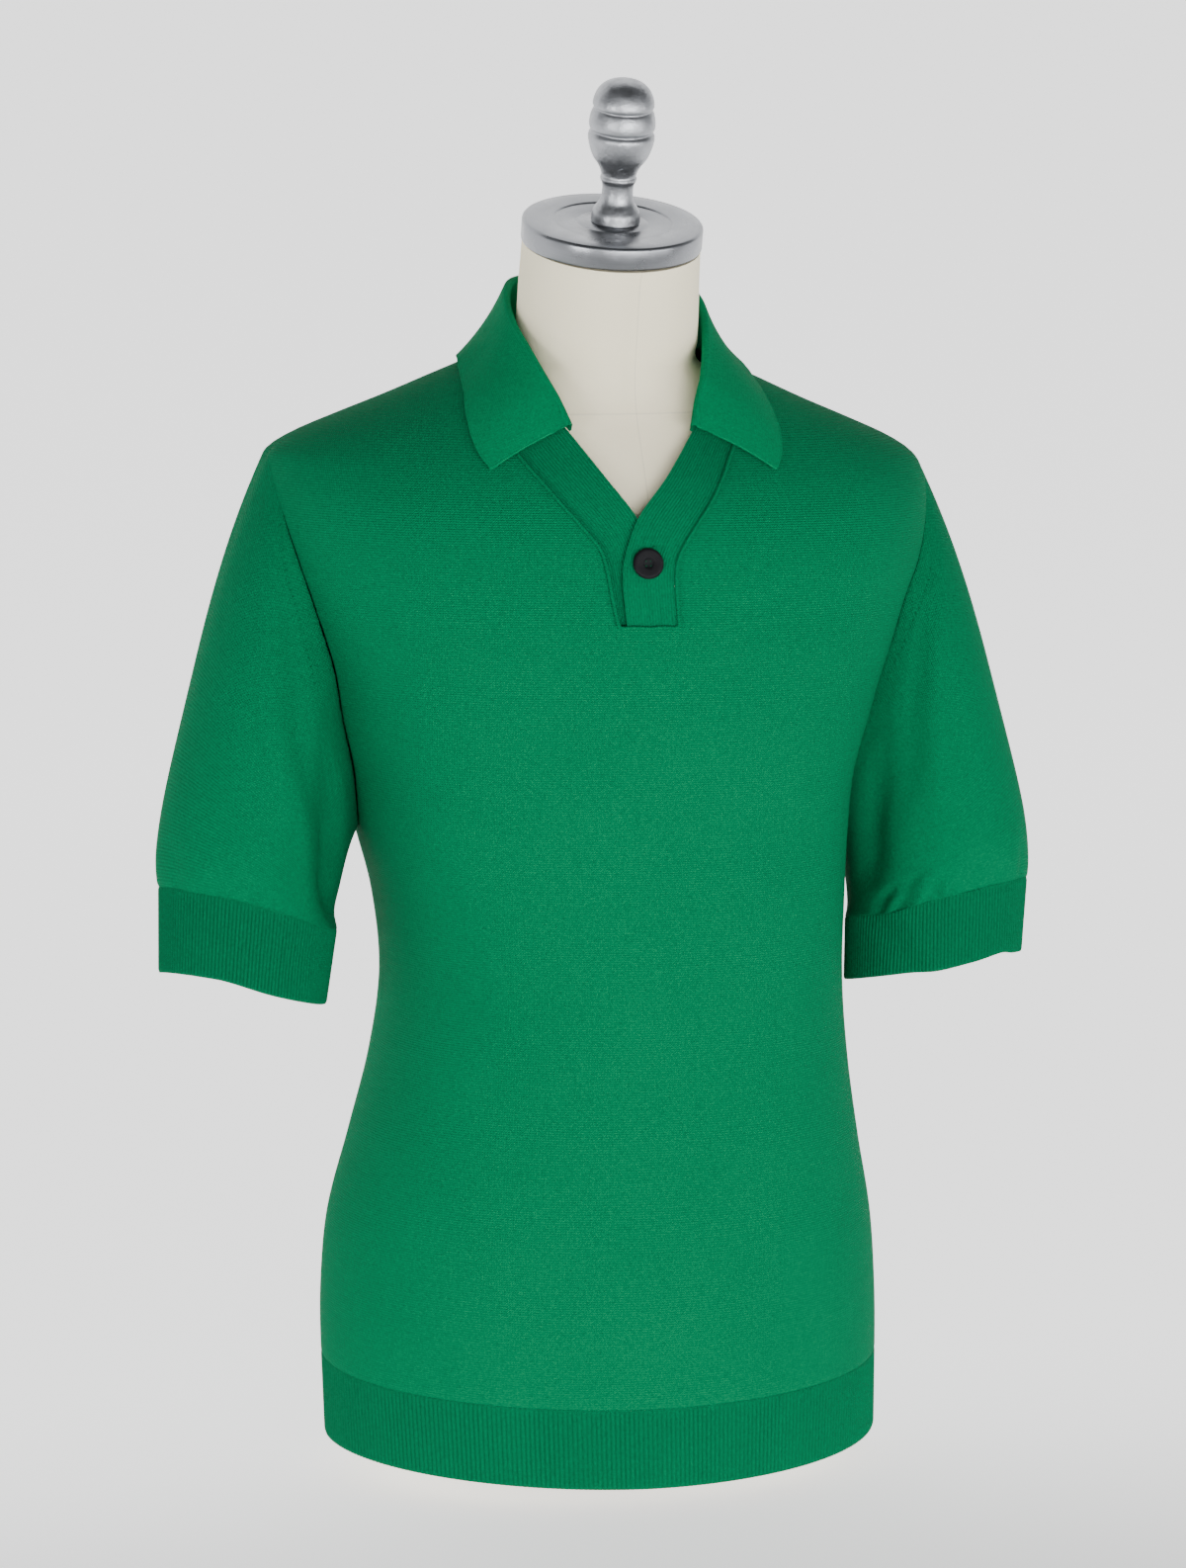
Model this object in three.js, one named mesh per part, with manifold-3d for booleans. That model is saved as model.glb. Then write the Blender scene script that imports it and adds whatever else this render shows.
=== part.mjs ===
// Short-sleeved knitted polo shirt on a limbless dress form with a metal neck cap and knob.
// Millimetres, +Z up. The front faces -Y, the wearer's left is +X.
// The origin is the middle of the form's foot, on the surface that it stands on.
import * as THREE from 'three';
import { mergeVertices } from 'three/addons/utils/BufferGeometryUtils.js';
import Module from 'manifold-3d';

const wasm = await Module();
wasm.setup();

// Cloth
const CLOTH = 1.8;            // wall of the plain knit
const RIB_CLOTH = 2.4;        // wall of the ribbed hem and cuffs, at a rib's crest
const RIB_DEPTH = 0.7;        // from a rib's crest to its trough
const SEAM_GAP = 0.3;         // between two pieces at a seam
const SHRINK_STEP = 0.5;      // height step used to measure how a section grows

// Body of the shirt, as worn: horizontal sections of its outer face.
// ridge is the depth of the side seam and of the shoulder line, square the section's squareness.
const BODY_COLUMNS = ['z', 'middle', 'half', 'ridge', 'front', 'back', 'square'];
const BODY = [
  [0, 2, 187, 0, -136, 134, 1.84],
  [76, 0.5, 188, 0, -138, 135, 1.95],
  [120, 0, 187.5, 0, -137, 133, 2],
  [171, 0.5, 183, 0, -135, 128, 2.05],
  [225, 3, 170.5, 0, -132, 122, 2.15],
  [279, 6, 159, 0, -130, 116, 2.25],
  [332, 7.5, 153, 0, -130, 113, 2.3],
  [385, 5.5, 155.5, 1, -131, 115, 2.4],
  [430, 1, 162, 3, -132, 121, 2.45],
  [470, -1, 168, 5, -135, 126, 2.5],
  [504, -1, 178, 7, -137, 130, 2.5],
  [536, 0, 187, 8, -137, 132, 2.5],
  [558, 0, 195, 9, -136, 133, 2.5],
  [585, 0, 205, 11, -133, 134, 2.45],
  [605, 1, 213, 13, -130, 133, 2.4],
  [626, 1, 219, 15, -125, 132, 2.35],
  [645, 1, 221.5, 17, -118, 129, 2.3],
  [662, 1, 221, 19, -109, 124, 2.2],
  [675, 0, 216, 20, -100, 118, 2.1],
  [686, 0, 199, 19, -92, 112, 2.05],
  [698, 0, 171, 18, -84, 105, 2],
  [710, 0, 141, 16, -75, 98, 2],
  [723, 0, 111, 13, -66, 88, 2],
  [736, 0, 82, 10, -56, 77, 2],
  [750, 0, 62, 8, -46, 66, 2],
];
const ARMPIT_Z = 430;
const TIP_Z = 675;
const NECK_ROW_Z = 748;

// Slopes of the worn shirt: it sits a little low on the wearer's left, and its hem dips in front.
const SIDE_SLOPE = { rate: 0.018, whole: 740, gone: 790 };
const HEM_DIP = { rate: 0.06, whole: 90, gone: 330 };

// Armhole: how far it is cut into the front and the back, as shares of their depth
const ARMHOLE_FRONT = { mid: 0.33, top: 0.12 };
const ARMHOLE_BACK = { mid: 0.33, top: 0.08 };
const ARMHOLE_COLUMNS = 28;

// Panel grids
const FRONT_COLUMNS = 18;
const BACK_COLUMNS = 16;
const LOWER_ROWS = [76, 100, 130, 171, 212, 252, 292, 332, 372, 408];
const UPPER_ROWS = [682, 691, 702, 713, 724, 736, NECK_ROW_Z];

// Hem
const HEM_TOP_Z = 76;
const HEM_BOTTOM_Z = 23;
const HEM_RIBS = 330;
const RIBS_PER_INNER = 3;     // ribs of a band for each point of its plain inside

// Sleeves and cuffs, one row for each side. side is -1 on the wearer's right.
// out and fore tip the cuff's two rims: how much they rise outwards and forwards.
const CUFF_COLUMNS = ['side', 'rim', 'x', 'y', 'z', 'across', 'deep', 'out', 'fore'];
const CUFFS = [
  [-1, 'top', 236.5, -10, 384, 58, 53, 0.27, 0.12],
  [-1, 'bottom', 240.5, -10, 331.5, 54.5, 53, 0.22, 0.13],
  [1, 'top', 231.5, -5, 372, 62, 49, 0.17, 0.22],
  [1, 'bottom', 230.5, -2, 325.5, 60.5, 51, 0.12, 0.18],
];
const CUFF_RIBS = 141;
const SLEEVE_ROWS = [0, 0.05, 0.13, 0.25, 0.4, 0.56, 0.72, 0.85, 0.94, 1];
const SLEEVE_BULGE = { out: 11.3, side: 9.8, under: 4, upper: 2.6, lower: 5 };
const SLEEVE_SHIFT = 0.8;     // gap between the armhole's edge and the sleeve's, measured outwards
const GATHER_WAVES = 7;
const GATHER_DEPTH = 1.6;
const GATHER_ROW = 0.94;

// Neck slot: outer seams of the two bands, from the shoulder down to the foot, seen from the front
const UNDER_SEAM = [[-87, 731], [-84, 706], [-74.5, 681], [-56, 656.5], [-38.5, 638], [-29, 622], [-25, 601], [-18, 574]];
const TOP_SEAM = [[87, 731], [78, 704], [62.5, 678.5], [48, 654.5], [33, 636.5], [22, 621.5], [18.8, 604], [18.8, 574]];
const UNDER_EDGE = [[-75, 739], [-60, 721], [-39.5, 693.5], [-20, 665.5], [-3, 640.5], [3, 622], [4, 601], [4, 574]];
const TOP_EDGE = [[75, 739], [60, 719], [40.5, 693], [19.5, 667], [-3.5, 641], [-12, 622], [-14, 602], [-14, 574]];
const SLOT_FOOT_Z = 574;
const BAND_CLOTH = 1.6;
const BAND_GAP = { under: 0.8, top: 0.5, foot: 0.5 };  // between a band and the slot's edge, from the front
const TOP_BAND_LIFT = 0.5;    // outer face of the top band over the body's own
const UNDER_BAND_SINK = { edge: 1.6, seam: 0.4, foot: 2.2 };  // the under band's depth below the body's face

// Collar, half of it: seam, fold and outer edge from the notch round to the middle of the back.
// bow is how far the leaf swells out between its fold and its edge.
const COLLAR_COLUMNS = ['seamX', 'seamY', 'seamZ', 'foldX', 'foldY', 'foldZ', 'edgeX', 'edgeY', 'edgeZ', 'bow'];
const COLLAR = [
  [39.5, -86, 694, 39.5, -88, 697.5, 93, -91, 671, 2],
  [45, -80, 701, 44, -79, 709, 98, -86, 679, 2],
  [53, -70, 711, 51, -67, 725, 101, -74, 690, 2],
  [61, -54, 722, 57, -50, 741, 101, -56, 704, 1],
  [69, -32, 733, 62, -28, 757, 98, -32, 719, -1.5],
  [75, -6, 741, 63, -3, 770, 94, -2, 734.5, -3.5],
  [70, 22, 748, 58, 22, 780, 88, 27, 736, -3],
  [59, 44, 754, 48, 42, 784, 74, 54, 738, -1],
  [35, 58, 758, 28, 53, 786, 43, 75, 742, 1.5],
  [0, 63, 760, 0, 57, 787, 0, 82, 744, 2],
];
const FOLD_SHIFT = { distance: 4, from: 752, to: 784 };  // the stand leans to the wearer's left higher up
const COLLAR_STEPS = 26;
const COLLAR_CLOTH = 1.8;
const FOLD_RADIUS = 2;
const LEAF_LIFT = 2.6;        // centre of the leaf's edge over the body's front
const LEAF_REST_Z = 728;      // below this height the edge rests on the front

// Button
const BUTTON = { x: 0, z: 613, radius: 9.8, thickness: 3.4, rim: 1.6, hole: 1.1, spread: 1.7 };

// Dress form: sections of the torso and the neck
const FORM_COLUMNS = ['z', 'middle', 'half', 'ridge', 'front', 'back', 'square'];
const FORM = [
  [26, 1, 160, 0, -112, 112, 2.2],
  [34, 1, 168, 0, -119, 119, 2.2],
  [70, 1, 171.5, 0, -123, 122, 2.2],
  [120, 0, 171, 0, -123, 120, 2.2],
  [171, 2, 168, 0, -122, 116, 2.2],
  [225, 3, 158.5, 0, -120, 111, 2.25],
  [279, 5, 149, 0, -119, 106, 2.3],
  [332, 7, 145, 0, -119, 104, 2.3],
  [385, 6, 147.5, 1, -121, 107, 2.35],
  [430, 1, 153, 3, -124, 113, 2.35],
  [480, 0, 161, 5, -127, 118, 2.35],
  [530, 0, 171, 8, -127, 122, 2.3],
  [580, 0, 181, 10, -123, 124, 2.25],
  [625, 0, 188, 14, -114, 121, 2.15],
  [655, 0, 190, 17, -102, 114, 2.05],
  [674, 0, 187, 18, -91, 107, 2],
  [687, 0, 178, 18, -83, 100, 1.95],
  [699, 0, 160, 17, -76, 93, 1.8],
  [711, 0, 131, 15, -71, 84, 1.75],
  [723, 0, 94, 12, -69, 72, 1.75],
  [735, 0, 66, 4, -70, 58, 1.85],
  [750, 1.5, 60, -10, -74, 47, 2],
  [768, 1.2, 59, -18, -78, 39, 2],
  [786, 0.8, 58.5, -23, -82.5, 34, 2],
];
const FORM_SEGMENTS = 32;
const NECK_TOP = { x: 0.8, y: -30, z: 811, radius: 57.5, tilt: 16.5 };
const FOOT = { half: 100, depth: 75, height: 25.7, edge: 4 };
const CAP_SEGMENTS = 32;
const CAP = { radius: 58.5, height: 15, round: 1.6, stepRadius: 38, stepDepth: 0.8 };

// Knob on the cap: height along its axis and radius
const KNOB = [
  [0, 0], [0, 15.6], [2.5, 15.8], [7, 15.2], [10.5, 13.2], [14, 11], [21, 10], [27, 10.6], [29.5, 11.6], [31.5, 11.2],
  [35, 12.4], [38.5, 14.2], [43, 17.4], [50, 20.2], [57.5, 21.4], [60.5, 20.2], [63, 20.1], [68, 21],
  [73.5, 20.2], [75.5, 19.2], [78.5, 19.8], [83, 18.8], [88, 16], [91.5, 11.5], [93.5, 5.5], [94, 0],
];
const KNOB_SHIFT = 1.7;       // the knob stands this far off the cap's middle
const KNOB_SEGMENTS = 16;

const KNIT_GREEN = 0x00884f;
const RIB_GREEN = 0x007a45;
const LINEN = 0xe2ddd0;
const STEEL = 0xb4b6b8;
const HORN = 0x26262a;
const FOOT_WOOD = 0x6b4a30;

// A row of a table as an object with the table's named columns.
function named(columns, row) {
  return Object.fromEntries(columns.map((column, index) => [column, row[index]]));
}

// Values of a table at a height, along smooth curves through its rows.
function readTable(table, z) {
  let i = 0;
  while (i < table.length - 2 && table[i + 1][0] < z) {
    i += 1;
  }
  const low = table[i];
  const high = table[i + 1];
  const before = table[Math.max(i - 1, 0)];
  const after = table[Math.min(i + 2, table.length - 1)];
  const span = high[0] - low[0];
  const t = Math.min(Math.max((z - low[0]) / span, 0), 1);
  return low.map((value, column) => {
    const slopeLow = (high[column] - before[column]) / (high[0] - before[0]) * span;
    const slopeHigh = (after[column] - value) / (after[0] - low[0]) * span;
    const a = 2 * t ** 3 - 3 * t ** 2 + 1;
    const b = t ** 3 - 2 * t ** 2 + t;
    const c = 3 * t ** 2 - 2 * t ** 3;
    const d = t ** 3 - t ** 2;
    return a * value + b * slopeLow + c * high[column] + d * slopeHigh;
  });
}

function bodyAt(z) {
  return named(BODY_COLUMNS, readTable(BODY, z));
}

function smoothStep(from, to, value) {
  const t = Math.min(Math.max((value - from) / (to - from), 0), 1);
  return t * t * (3 - 2 * t);
}

// The hang of the worn shirt: a point's height falls towards the wearer's left and, low down, the front.
function hang([x, y, z]) {
  const side = SIDE_SLOPE.rate * (1 - smoothStep(SIDE_SLOPE.whole, SIDE_SLOPE.gone, z));
  const dip = HEM_DIP.rate * (1 - smoothStep(HEM_DIP.whole, HEM_DIP.gone, z));
  return [x, y, z - x * side + y * dip];
}

// A point of a section at an angle from the wearer's right side (0) over the face to the left (PI).
function sectionPoint(section, z, angle, face) {
  const power = 2 / section.square;
  const across = -Math.sign(Math.cos(angle)) * Math.abs(Math.cos(angle)) ** power;
  const depth = Math.abs(Math.sin(angle)) ** power;
  return [section.middle + section.half * across, section.ridge + (section[face] - section.ridge) * depth, z];
}

// Depth of the body's front at a place seen from the front.
function frontDepth(x, z) {
  const section = bodyAt(z);
  const share = Math.min(Math.abs(x - section.middle) / section.half, 1);
  return section.ridge + (section.front - section.ridge) * (1 - share ** section.square) ** (1 / section.square);
}

function frontNormal(x, z) {
  const h = SHRINK_STEP;
  const dx = (frontDepth(x + h, z) - frontDepth(x - h, z)) / (2 * h);
  const dz = (frontDepth(x, z + h) - frontDepth(x, z - h)) / (2 * h);
  return new THREE.Vector3(dx, -1, dz).normalize();
}

// Armhole, at a turn from the shoulder tip (0) round the front to the armpit (PI).
function armholeHeight(turn) {
  const middle = (TIP_Z + ARMPIT_Z) / 2;
  return middle + (TIP_Z - middle) * Math.cos(turn);
}

function armholeAngle(turn, face) {
  const cut = face === 'front' ? ARMHOLE_FRONT : ARMHOLE_BACK;
  const share = Math.max(Math.sin(turn), 0) * (cut.mid + cut.top * Math.cos(turn));
  return Math.asin(share ** (bodyAt(armholeHeight(turn)).square / 2));
}

// Direction of the cut edge's thickness round the armhole, pointing out of the sleeve.
function armholeOut(side, turn, face) {
  const forward = face === 'front' ? -1 : 1;
  const flare = 0.2 * (1 + Math.cos(turn));
  return new THREE.Vector3(side * flare, forward * Math.sin(turn), Math.cos(turn)).normalize();
}

// Outward direction at the side seam and on the shoulder line.
function ridgeOut(side, z) {
  const growth = (bodyAt(z + SHRINK_STEP).half - bodyAt(z - SHRINK_STEP).half) / (2 * SHRINK_STEP);
  return new THREE.Vector3(side, 0, -growth).normalize();
}

// Unit normals of a grid of points. closed means that each row is a ring.
function gridNormals(grid, closed, flip) {
  const rows = grid.length;
  const columns = grid[0].length;
  const at = (i, j) => new THREE.Vector3(...grid[i][j]);
  return grid.map((row, i) => row.map((point, j) => {
    const left = closed ? (j + columns - 1) % columns : Math.max(j - 1, 0);
    const right = closed ? (j + 1) % columns : Math.min(j + 1, columns - 1);
    const across = at(i, right).sub(at(i, left));
    const along = at(Math.min(i + 1, rows - 1), j).sub(at(Math.max(i - 1, 0), j));
    return across.cross(along).normalize().multiplyScalar(flip ? -1 : 1);
  }));
}

function moved(point, direction, distance) {
  return point.map((value, axis) => value + direction.getComponent(axis) * distance);
}

// A closed body from its triangles, turned so that its faces point out.
function bodyGeometry(points, triangles) {
  let volume = 0;
  const [a, b, c] = [new THREE.Vector3(), new THREE.Vector3(), new THREE.Vector3()];
  for (const [i, j, k] of triangles) {
    volume += a.set(...points[i]).dot(b.set(...points[j]).cross(c.set(...points[k])));
  }
  const index = triangles.flatMap(([i, j, k]) => (volume < 0 ? [i, k, j] : [i, j, k]));
  const geometry = new THREE.BufferGeometry();
  geometry.setAttribute('position', new THREE.Float32BufferAttribute(points.flat(), 3));
  geometry.setIndex(index);
  return geometry;
}

function quad(list, a, b, c, d) {
  list.push([a, b, c], [a, c, d]);
}

// A wall of cloth between two grids of the same size, closed at all its edges.
function wall(outer, inner, closed) {
  const rows = outer.length;
  const columns = outer[0].length;
  const points = [...outer.flat(), ...inner.flat()];
  const out = (i, j) => i * columns + (j % columns);
  const into = (i, j) => rows * columns + out(i, j);
  const triangles = [];
  const spans = closed ? columns : columns - 1;
  for (let j = 0; j < spans; j += 1) {
    for (let i = 0; i < rows - 1; i += 1) {
      quad(triangles, out(i, j), out(i, j + 1), out(i + 1, j + 1), out(i + 1, j));
      quad(triangles, into(i, j), into(i + 1, j), into(i + 1, j + 1), into(i, j + 1));
    }
    quad(triangles, into(0, j), into(0, j + 1), out(0, j + 1), out(0, j));
    quad(triangles, out(rows - 1, j), out(rows - 1, j + 1), into(rows - 1, j + 1), into(rows - 1, j));
  }
  if (!closed) {
    for (let i = 0; i < rows - 1; i += 1) {
      quad(triangles, out(i, 0), out(i + 1, 0), into(i + 1, 0), into(i, 0));
      quad(triangles, into(i, columns - 1), into(i + 1, columns - 1), out(i + 1, columns - 1), out(i, columns - 1));
    }
  }
  return bodyGeometry(points, triangles);
}

// A closed solid from a stack of rings, with a flat fan over each end.
function stack(rings) {
  const columns = rings[0].length;
  const points = rings.flat();
  const triangles = [];
  for (let i = 0; i < rings.length - 1; i += 1) {
    for (let j = 0; j < columns; j += 1) {
      const k = (j + 1) % columns;
      quad(triangles, i * columns + j, i * columns + k, (i + 1) * columns + k, (i + 1) * columns + j);
    }
  }
  for (const [row, turned] of [[0, true], [rings.length - 1, false]]) {
    const middle = [0, 1, 2].map((axis) => rings[row].reduce((sum, point) => sum + point[axis], 0) / columns);
    const centre = points.push(middle) - 1;
    for (let j = 0; j < columns; j += 1) {
      const [a, b] = [row * columns + j, row * columns + ((j + 1) % columns)];
      triangles.push(turned ? [centre, b, a] : [centre, a, b]);
    }
  }
  return bodyGeometry(points, triangles);
}

// Front or back panel of the body, before its neck is cut.
function panelGrids(face, columns) {
  const armholeTurns = [];
  for (let j = ARMHOLE_COLUMNS / 2; j >= 0; j -= 1) {
    armholeTurns.push(2 * Math.PI * j / ARMHOLE_COLUMNS);
  }
  const rows = [
    ...LOWER_ROWS.map((z) => ({ z })),
    ...armholeTurns.map((turn) => ({ z: armholeHeight(turn), turn })),
    ...UPPER_ROWS.map((z) => ({ z })),
  ];
  const apart = (face === 'front' ? -1 : 1) * SEAM_GAP / 2;
  const outer = rows.map(({ z, turn }) => {
    const end = turn === undefined ? 0 : armholeAngle(turn, face);
    return Array.from({ length: columns + 1 }, (_, j) => {
      const [x, y] = sectionPoint(bodyAt(z), z, end + (Math.PI - 2 * end) * j / columns, face);
      return [x, y + apart, z];
    });
  });
  const normals = gridNormals(outer, false, face === 'back');
  rows.forEach(({ z, turn }, i) => {
    for (const [j, side] of [[0, -1], [columns, 1]]) {
      normals[i][j] = turn === undefined ? ridgeOut(side, z) : armholeOut(side, turn, face);
    }
  });
  const inner = outer.map((row, i) => row.map((point, j) => moved(point, normals[i][j], -CLOTH)));
  return [outer.map((row) => row.map(hang)), inner.map((row) => row.map(hang))];
}

// manifold-3d solid of a closed geometry, and back again
function toSolid(geometry) {
  const bare = geometry.clone();
  bare.deleteAttribute('normal');
  bare.deleteAttribute('uv');
  const merged = mergeVertices(bare);
  return new wasm.Manifold(new wasm.Mesh({
    numProp: 3,
    vertProperties: new Float32Array(merged.attributes.position.array),
    triVerts: new Uint32Array(merged.index.array),
  }));
}

function toGeometry(solid) {
  const mesh = solid.getMesh();
  const geometry = new THREE.BufferGeometry();
  geometry.setAttribute('position', new THREE.BufferAttribute(new Float32Array(mesh.vertProperties), 3));
  geometry.setIndex(new THREE.BufferAttribute(new Uint32Array(mesh.triVerts), 1));
  return geometry;
}

function cut(geometry, cutter) {
  return toGeometry(toSolid(geometry).subtract(toSolid(cutter)));
}

// A bar with the outline seen from the front, running from one depth to another.
function frontBar(outline, fromY, toY) {
  const shape = new THREE.Shape(outline.map(([x, z]) => new THREE.Vector2(x, z)));
  const bar = new THREE.ExtrudeGeometry(shape, { depth: toY - fromY, bevelEnabled: false });
  bar.rotateX(Math.PI / 2);
  bar.translate(0, toY, 0);
  return bar;
}

function hangPlane([x, z]) {
  const [, , height] = hang([x, 0, z]);
  return [x, height];
}

function frontPanel() {
  const [outer, inner] = panelGrids('front', FRONT_COLUMNS);
  const above = NECK_ROW_Z + 30;
  const clear = (points, gap) => points.map(([x, z]) => (
    hangPlane([x + gap, z === SLOT_FOOT_Z ? z - BAND_GAP.foot : z])
  ));
  const slot = [
    [UNDER_SEAM[0][0] - BAND_GAP.under, above],
    ...clear(UNDER_SEAM, -BAND_GAP.under),
    ...clear(TOP_SEAM, BAND_GAP.top).reverse(),
    [TOP_SEAM[0][0] + BAND_GAP.top, above],
  ];
  return cut(wall(outer, inner, false), frontBar(slot, -250, bodyAt(TIP_Z).ridge + 40));
}

// Column that the neck of the shirt is cut along: an egg through the collar seam's points.
function neckColumn() {
  const half = COLLAR.slice(4).map((row) => [row[0], row[1]]);
  const loop = [...half.map(([x, y]) => [x, y]), ...half.slice(0, -1).reverse().map(([x, y]) => [-x, y])];
  const outline = [...loop, [-70, -120], [70, -120]];
  const shape = new THREE.Shape(outline.map(([x, y]) => new THREE.Vector2(x, y)));
  const column = new THREE.ExtrudeGeometry(shape, { depth: 160, bevelEnabled: false });
  column.translate(0, 0, 690);
  return column;
}

function backPanel() {
  const [outer, inner] = panelGrids('back', BACK_COLUMNS);
  return cut(wall(outer, inner, false), neckColumn());
}

// Rims of a cuff, keyed by their place.
function cuffRim(side, rim) {
  return CUFFS.map((row) => named(CUFF_COLUMNS, row)).find((row) => row.side === side && row.rim === rim);
}

// Point of a cuff's rim, at a turn from its outer side (0) over the front.
function rimPoint(rim, turn) {
  const outwards = rim.across * Math.cos(turn);
  const forwards = rim.deep * Math.sin(turn);
  return [rim.side * (rim.x + outwards), rim.y - forwards, rim.z + rim.out * outwards + rim.fore * forwards];
}

// Sleeve from the armhole to the cuff: rings blended from one curve to the other.
function sleeve(side) {
  const top = cuffRim(side, 'top');
  const outer = SLEEVE_ROWS.map((share) => Array.from({ length: ARMHOLE_COLUMNS }, (_, j) => {
    const turn = 2 * Math.PI * j / ARMHOLE_COLUMNS;
    const face = turn <= Math.PI ? 'front' : 'back';
    const folded = turn <= Math.PI ? turn : 2 * Math.PI - turn;
    const z = armholeHeight(folded);
    const [x, y] = sectionPoint(bodyAt(z), z, armholeAngle(folded, face), face);
    const middle = bodyAt(z).middle;
    const from = hang([side * (middle * side + Math.abs(x - middle) + SLEEVE_SHIFT), y, z]);
    const to = rimPoint(top, turn);
    to[2] += SEAM_GAP;
    const power = share < 0.5 ? SLEEVE_BULGE.upper : SLEEVE_BULGE.lower;
    const swell = 1 - Math.abs(2 * share - 1) ** power;
    const gather = Math.exp(-(((share - GATHER_ROW) / 0.07) ** 2)) * Math.cos(GATHER_WAVES * turn) * GATHER_DEPTH;
    const lift = (SLEEVE_BULGE.out * (1 + Math.cos(turn)) + SLEEVE_BULGE.under * (1 - Math.cos(turn))) / 2;
    const outwards = lift * swell + gather * Math.abs(Math.cos(turn));
    const forwards = SLEEVE_BULGE.side * Math.sin(turn) * swell + gather * Math.sin(turn);
    return [
      THREE.MathUtils.lerp(from[0], to[0], share) + side * outwards,
      THREE.MathUtils.lerp(from[1], to[1], share) - forwards,
      THREE.MathUtils.lerp(from[2], to[2], share),
    ];
  }));
  const normals = gridNormals(outer, true, side < 0);
  normals[0] = normals[0].map((_, j) => {
    const turn = 2 * Math.PI * j / ARMHOLE_COLUMNS;
    const folded = turn <= Math.PI ? turn : 2 * Math.PI - turn;
    return armholeOut(side, folded, turn <= Math.PI ? 'front' : 'back');
  });
  for (const normal of normals[normals.length - 1]) {
    normal.setZ(0).normalize();
  }
  const inner = outer.map((row, i) => row.map((point, j) => moved(point, normals[i][j], -CLOTH)));
  return wall(outer, inner, true);
}

// A ring of points spaced evenly along a closed curve given by a function of the turn.
function evenRing(curve, count) {
  const fine = 1440;
  const points = Array.from({ length: fine + 1 }, (_, i) => new THREE.Vector3(...curve(2 * Math.PI * i / fine)));
  const reach = [0];
  for (let i = 1; i <= fine; i += 1) {
    reach.push(reach[i - 1] + points[i].distanceTo(points[i - 1]));
  }
  const ring = [];
  let k = 0;
  for (let i = 0; i < count; i += 1) {
    const wanted = reach[fine] * i / count;
    while (reach[k + 1] < wanted) {
      k += 1;
    }
    const share = (wanted - reach[k]) / (reach[k + 1] - reach[k]);
    ring.push(points[k].clone().lerp(points[k + 1], share).toArray());
  }
  return ring;
}

// A ring of points moved level, along the outward direction of its curve.
function widened(ring, distanceAt, outward) {
  const count = ring.length;
  return ring.map((point, i) => {
    const next = ring[(i + 1) % count];
    const last = ring[(i + count - 1) % count];
    const normal = new THREE.Vector3(next[1] - last[1], last[0] - next[0], 0).normalize();
    return moved(point, normal, distanceAt(i) * outward);
  });
}

// A ribbed band: ribs raised in the outer points, over a plain inside with fewer points.
function ribbedBand(topCurve, bottomCurve, ribs, outward) {
  const outerCount = 2 * ribs;
  const innerCount = ribs / RIBS_PER_INNER;
  const spread = 2 * RIBS_PER_INNER;
  const relief = (i) => (i % 2 === 0 ? 0 : -RIB_DEPTH);
  const outer = [topCurve, bottomCurve].map((curve) => widened(evenRing(curve, outerCount), relief, outward));
  const inner = [topCurve, bottomCurve].map((curve) => widened(evenRing(curve, innerCount), () => -RIB_CLOTH, outward));
  const points = [...outer.flat(), ...inner.flat()];
  const out = (i, j) => i * outerCount + (j % outerCount);
  const into = (i, j) => 2 * outerCount + i * innerCount + (j % innerCount);
  const triangles = [];
  for (let j = 0; j < outerCount; j += 1) {
    quad(triangles, out(0, j), out(1, j), out(1, j + 1), out(0, j + 1));
  }
  for (let j = 0; j < innerCount; j += 1) {
    quad(triangles, into(0, j), into(0, j + 1), into(1, j + 1), into(1, j));
    for (const [row, turned] of [[0, false], [1, true]]) {
      const half = (j + 0.5) * spread;
      for (let k = j * spread; k < (j + 1) * spread; k += 1) {
        const root = k < half ? into(row, j) : into(row, j + 1);
        triangles.push(turned ? [root, out(row, k + 1), out(row, k)] : [root, out(row, k), out(row, k + 1)]);
      }
      const middle = out(row, Math.ceil(half));
      triangles.push(turned ? [into(row, j), into(row, j + 1), middle] : [into(row, j), middle, into(row, j + 1)]);
    }
  }
  return bodyGeometry(points, triangles);
}

function bodyRing(z) {
  return (turn) => {
    const face = turn <= Math.PI ? 'front' : 'back';
    return hang(sectionPoint(bodyAt(z), z, turn <= Math.PI ? turn : 2 * Math.PI - turn, face));
  };
}

function hemRib() {
  return ribbedBand(bodyRing(HEM_TOP_Z - SEAM_GAP), bodyRing(HEM_BOTTOM_Z), HEM_RIBS, 1);
}

function cuff(side) {
  const rims = ['top', 'bottom'].map((rim) => (turn) => rimPoint(cuffRim(side, rim), turn));
  return ribbedBand(rims[0], rims[1], CUFF_RIBS, side < 0 ? 1 : -1);
}

// A point along an open line of points, at a share of their number.
function alongLine(line, share) {
  const place = share * (line.length - 1);
  const i = Math.min(Math.floor(place), line.length - 2);
  return line[i].map((value, axis) => THREE.MathUtils.lerp(value, line[i + 1][axis], place - i));
}

// A band between its outer seam and its free edge, lying on the body's front.
function band(seam, edge, sinkAt) {
  const steps = 2 * (seam.length - 1);
  const across = 3;
  const surface = (below) => Array.from({ length: steps + 1 }, (_, i) => (
    Array.from({ length: across + 1 }, (_unused, j) => {
      const from = alongLine(seam, i / steps);
      const to = alongLine(edge, i / steps);
      const share = j / across;
      const [x, z] = [THREE.MathUtils.lerp(from[0], to[0], share), THREE.MathUtils.lerp(from[1], to[1], share)];
      const sink = sinkAt(share, z) + below;
      return hang(moved([x, frontDepth(x, z), z], frontNormal(x, z), -sink));
    })
  ));
  return wall(surface(0), surface(BAND_CLOTH), false);
}

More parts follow.
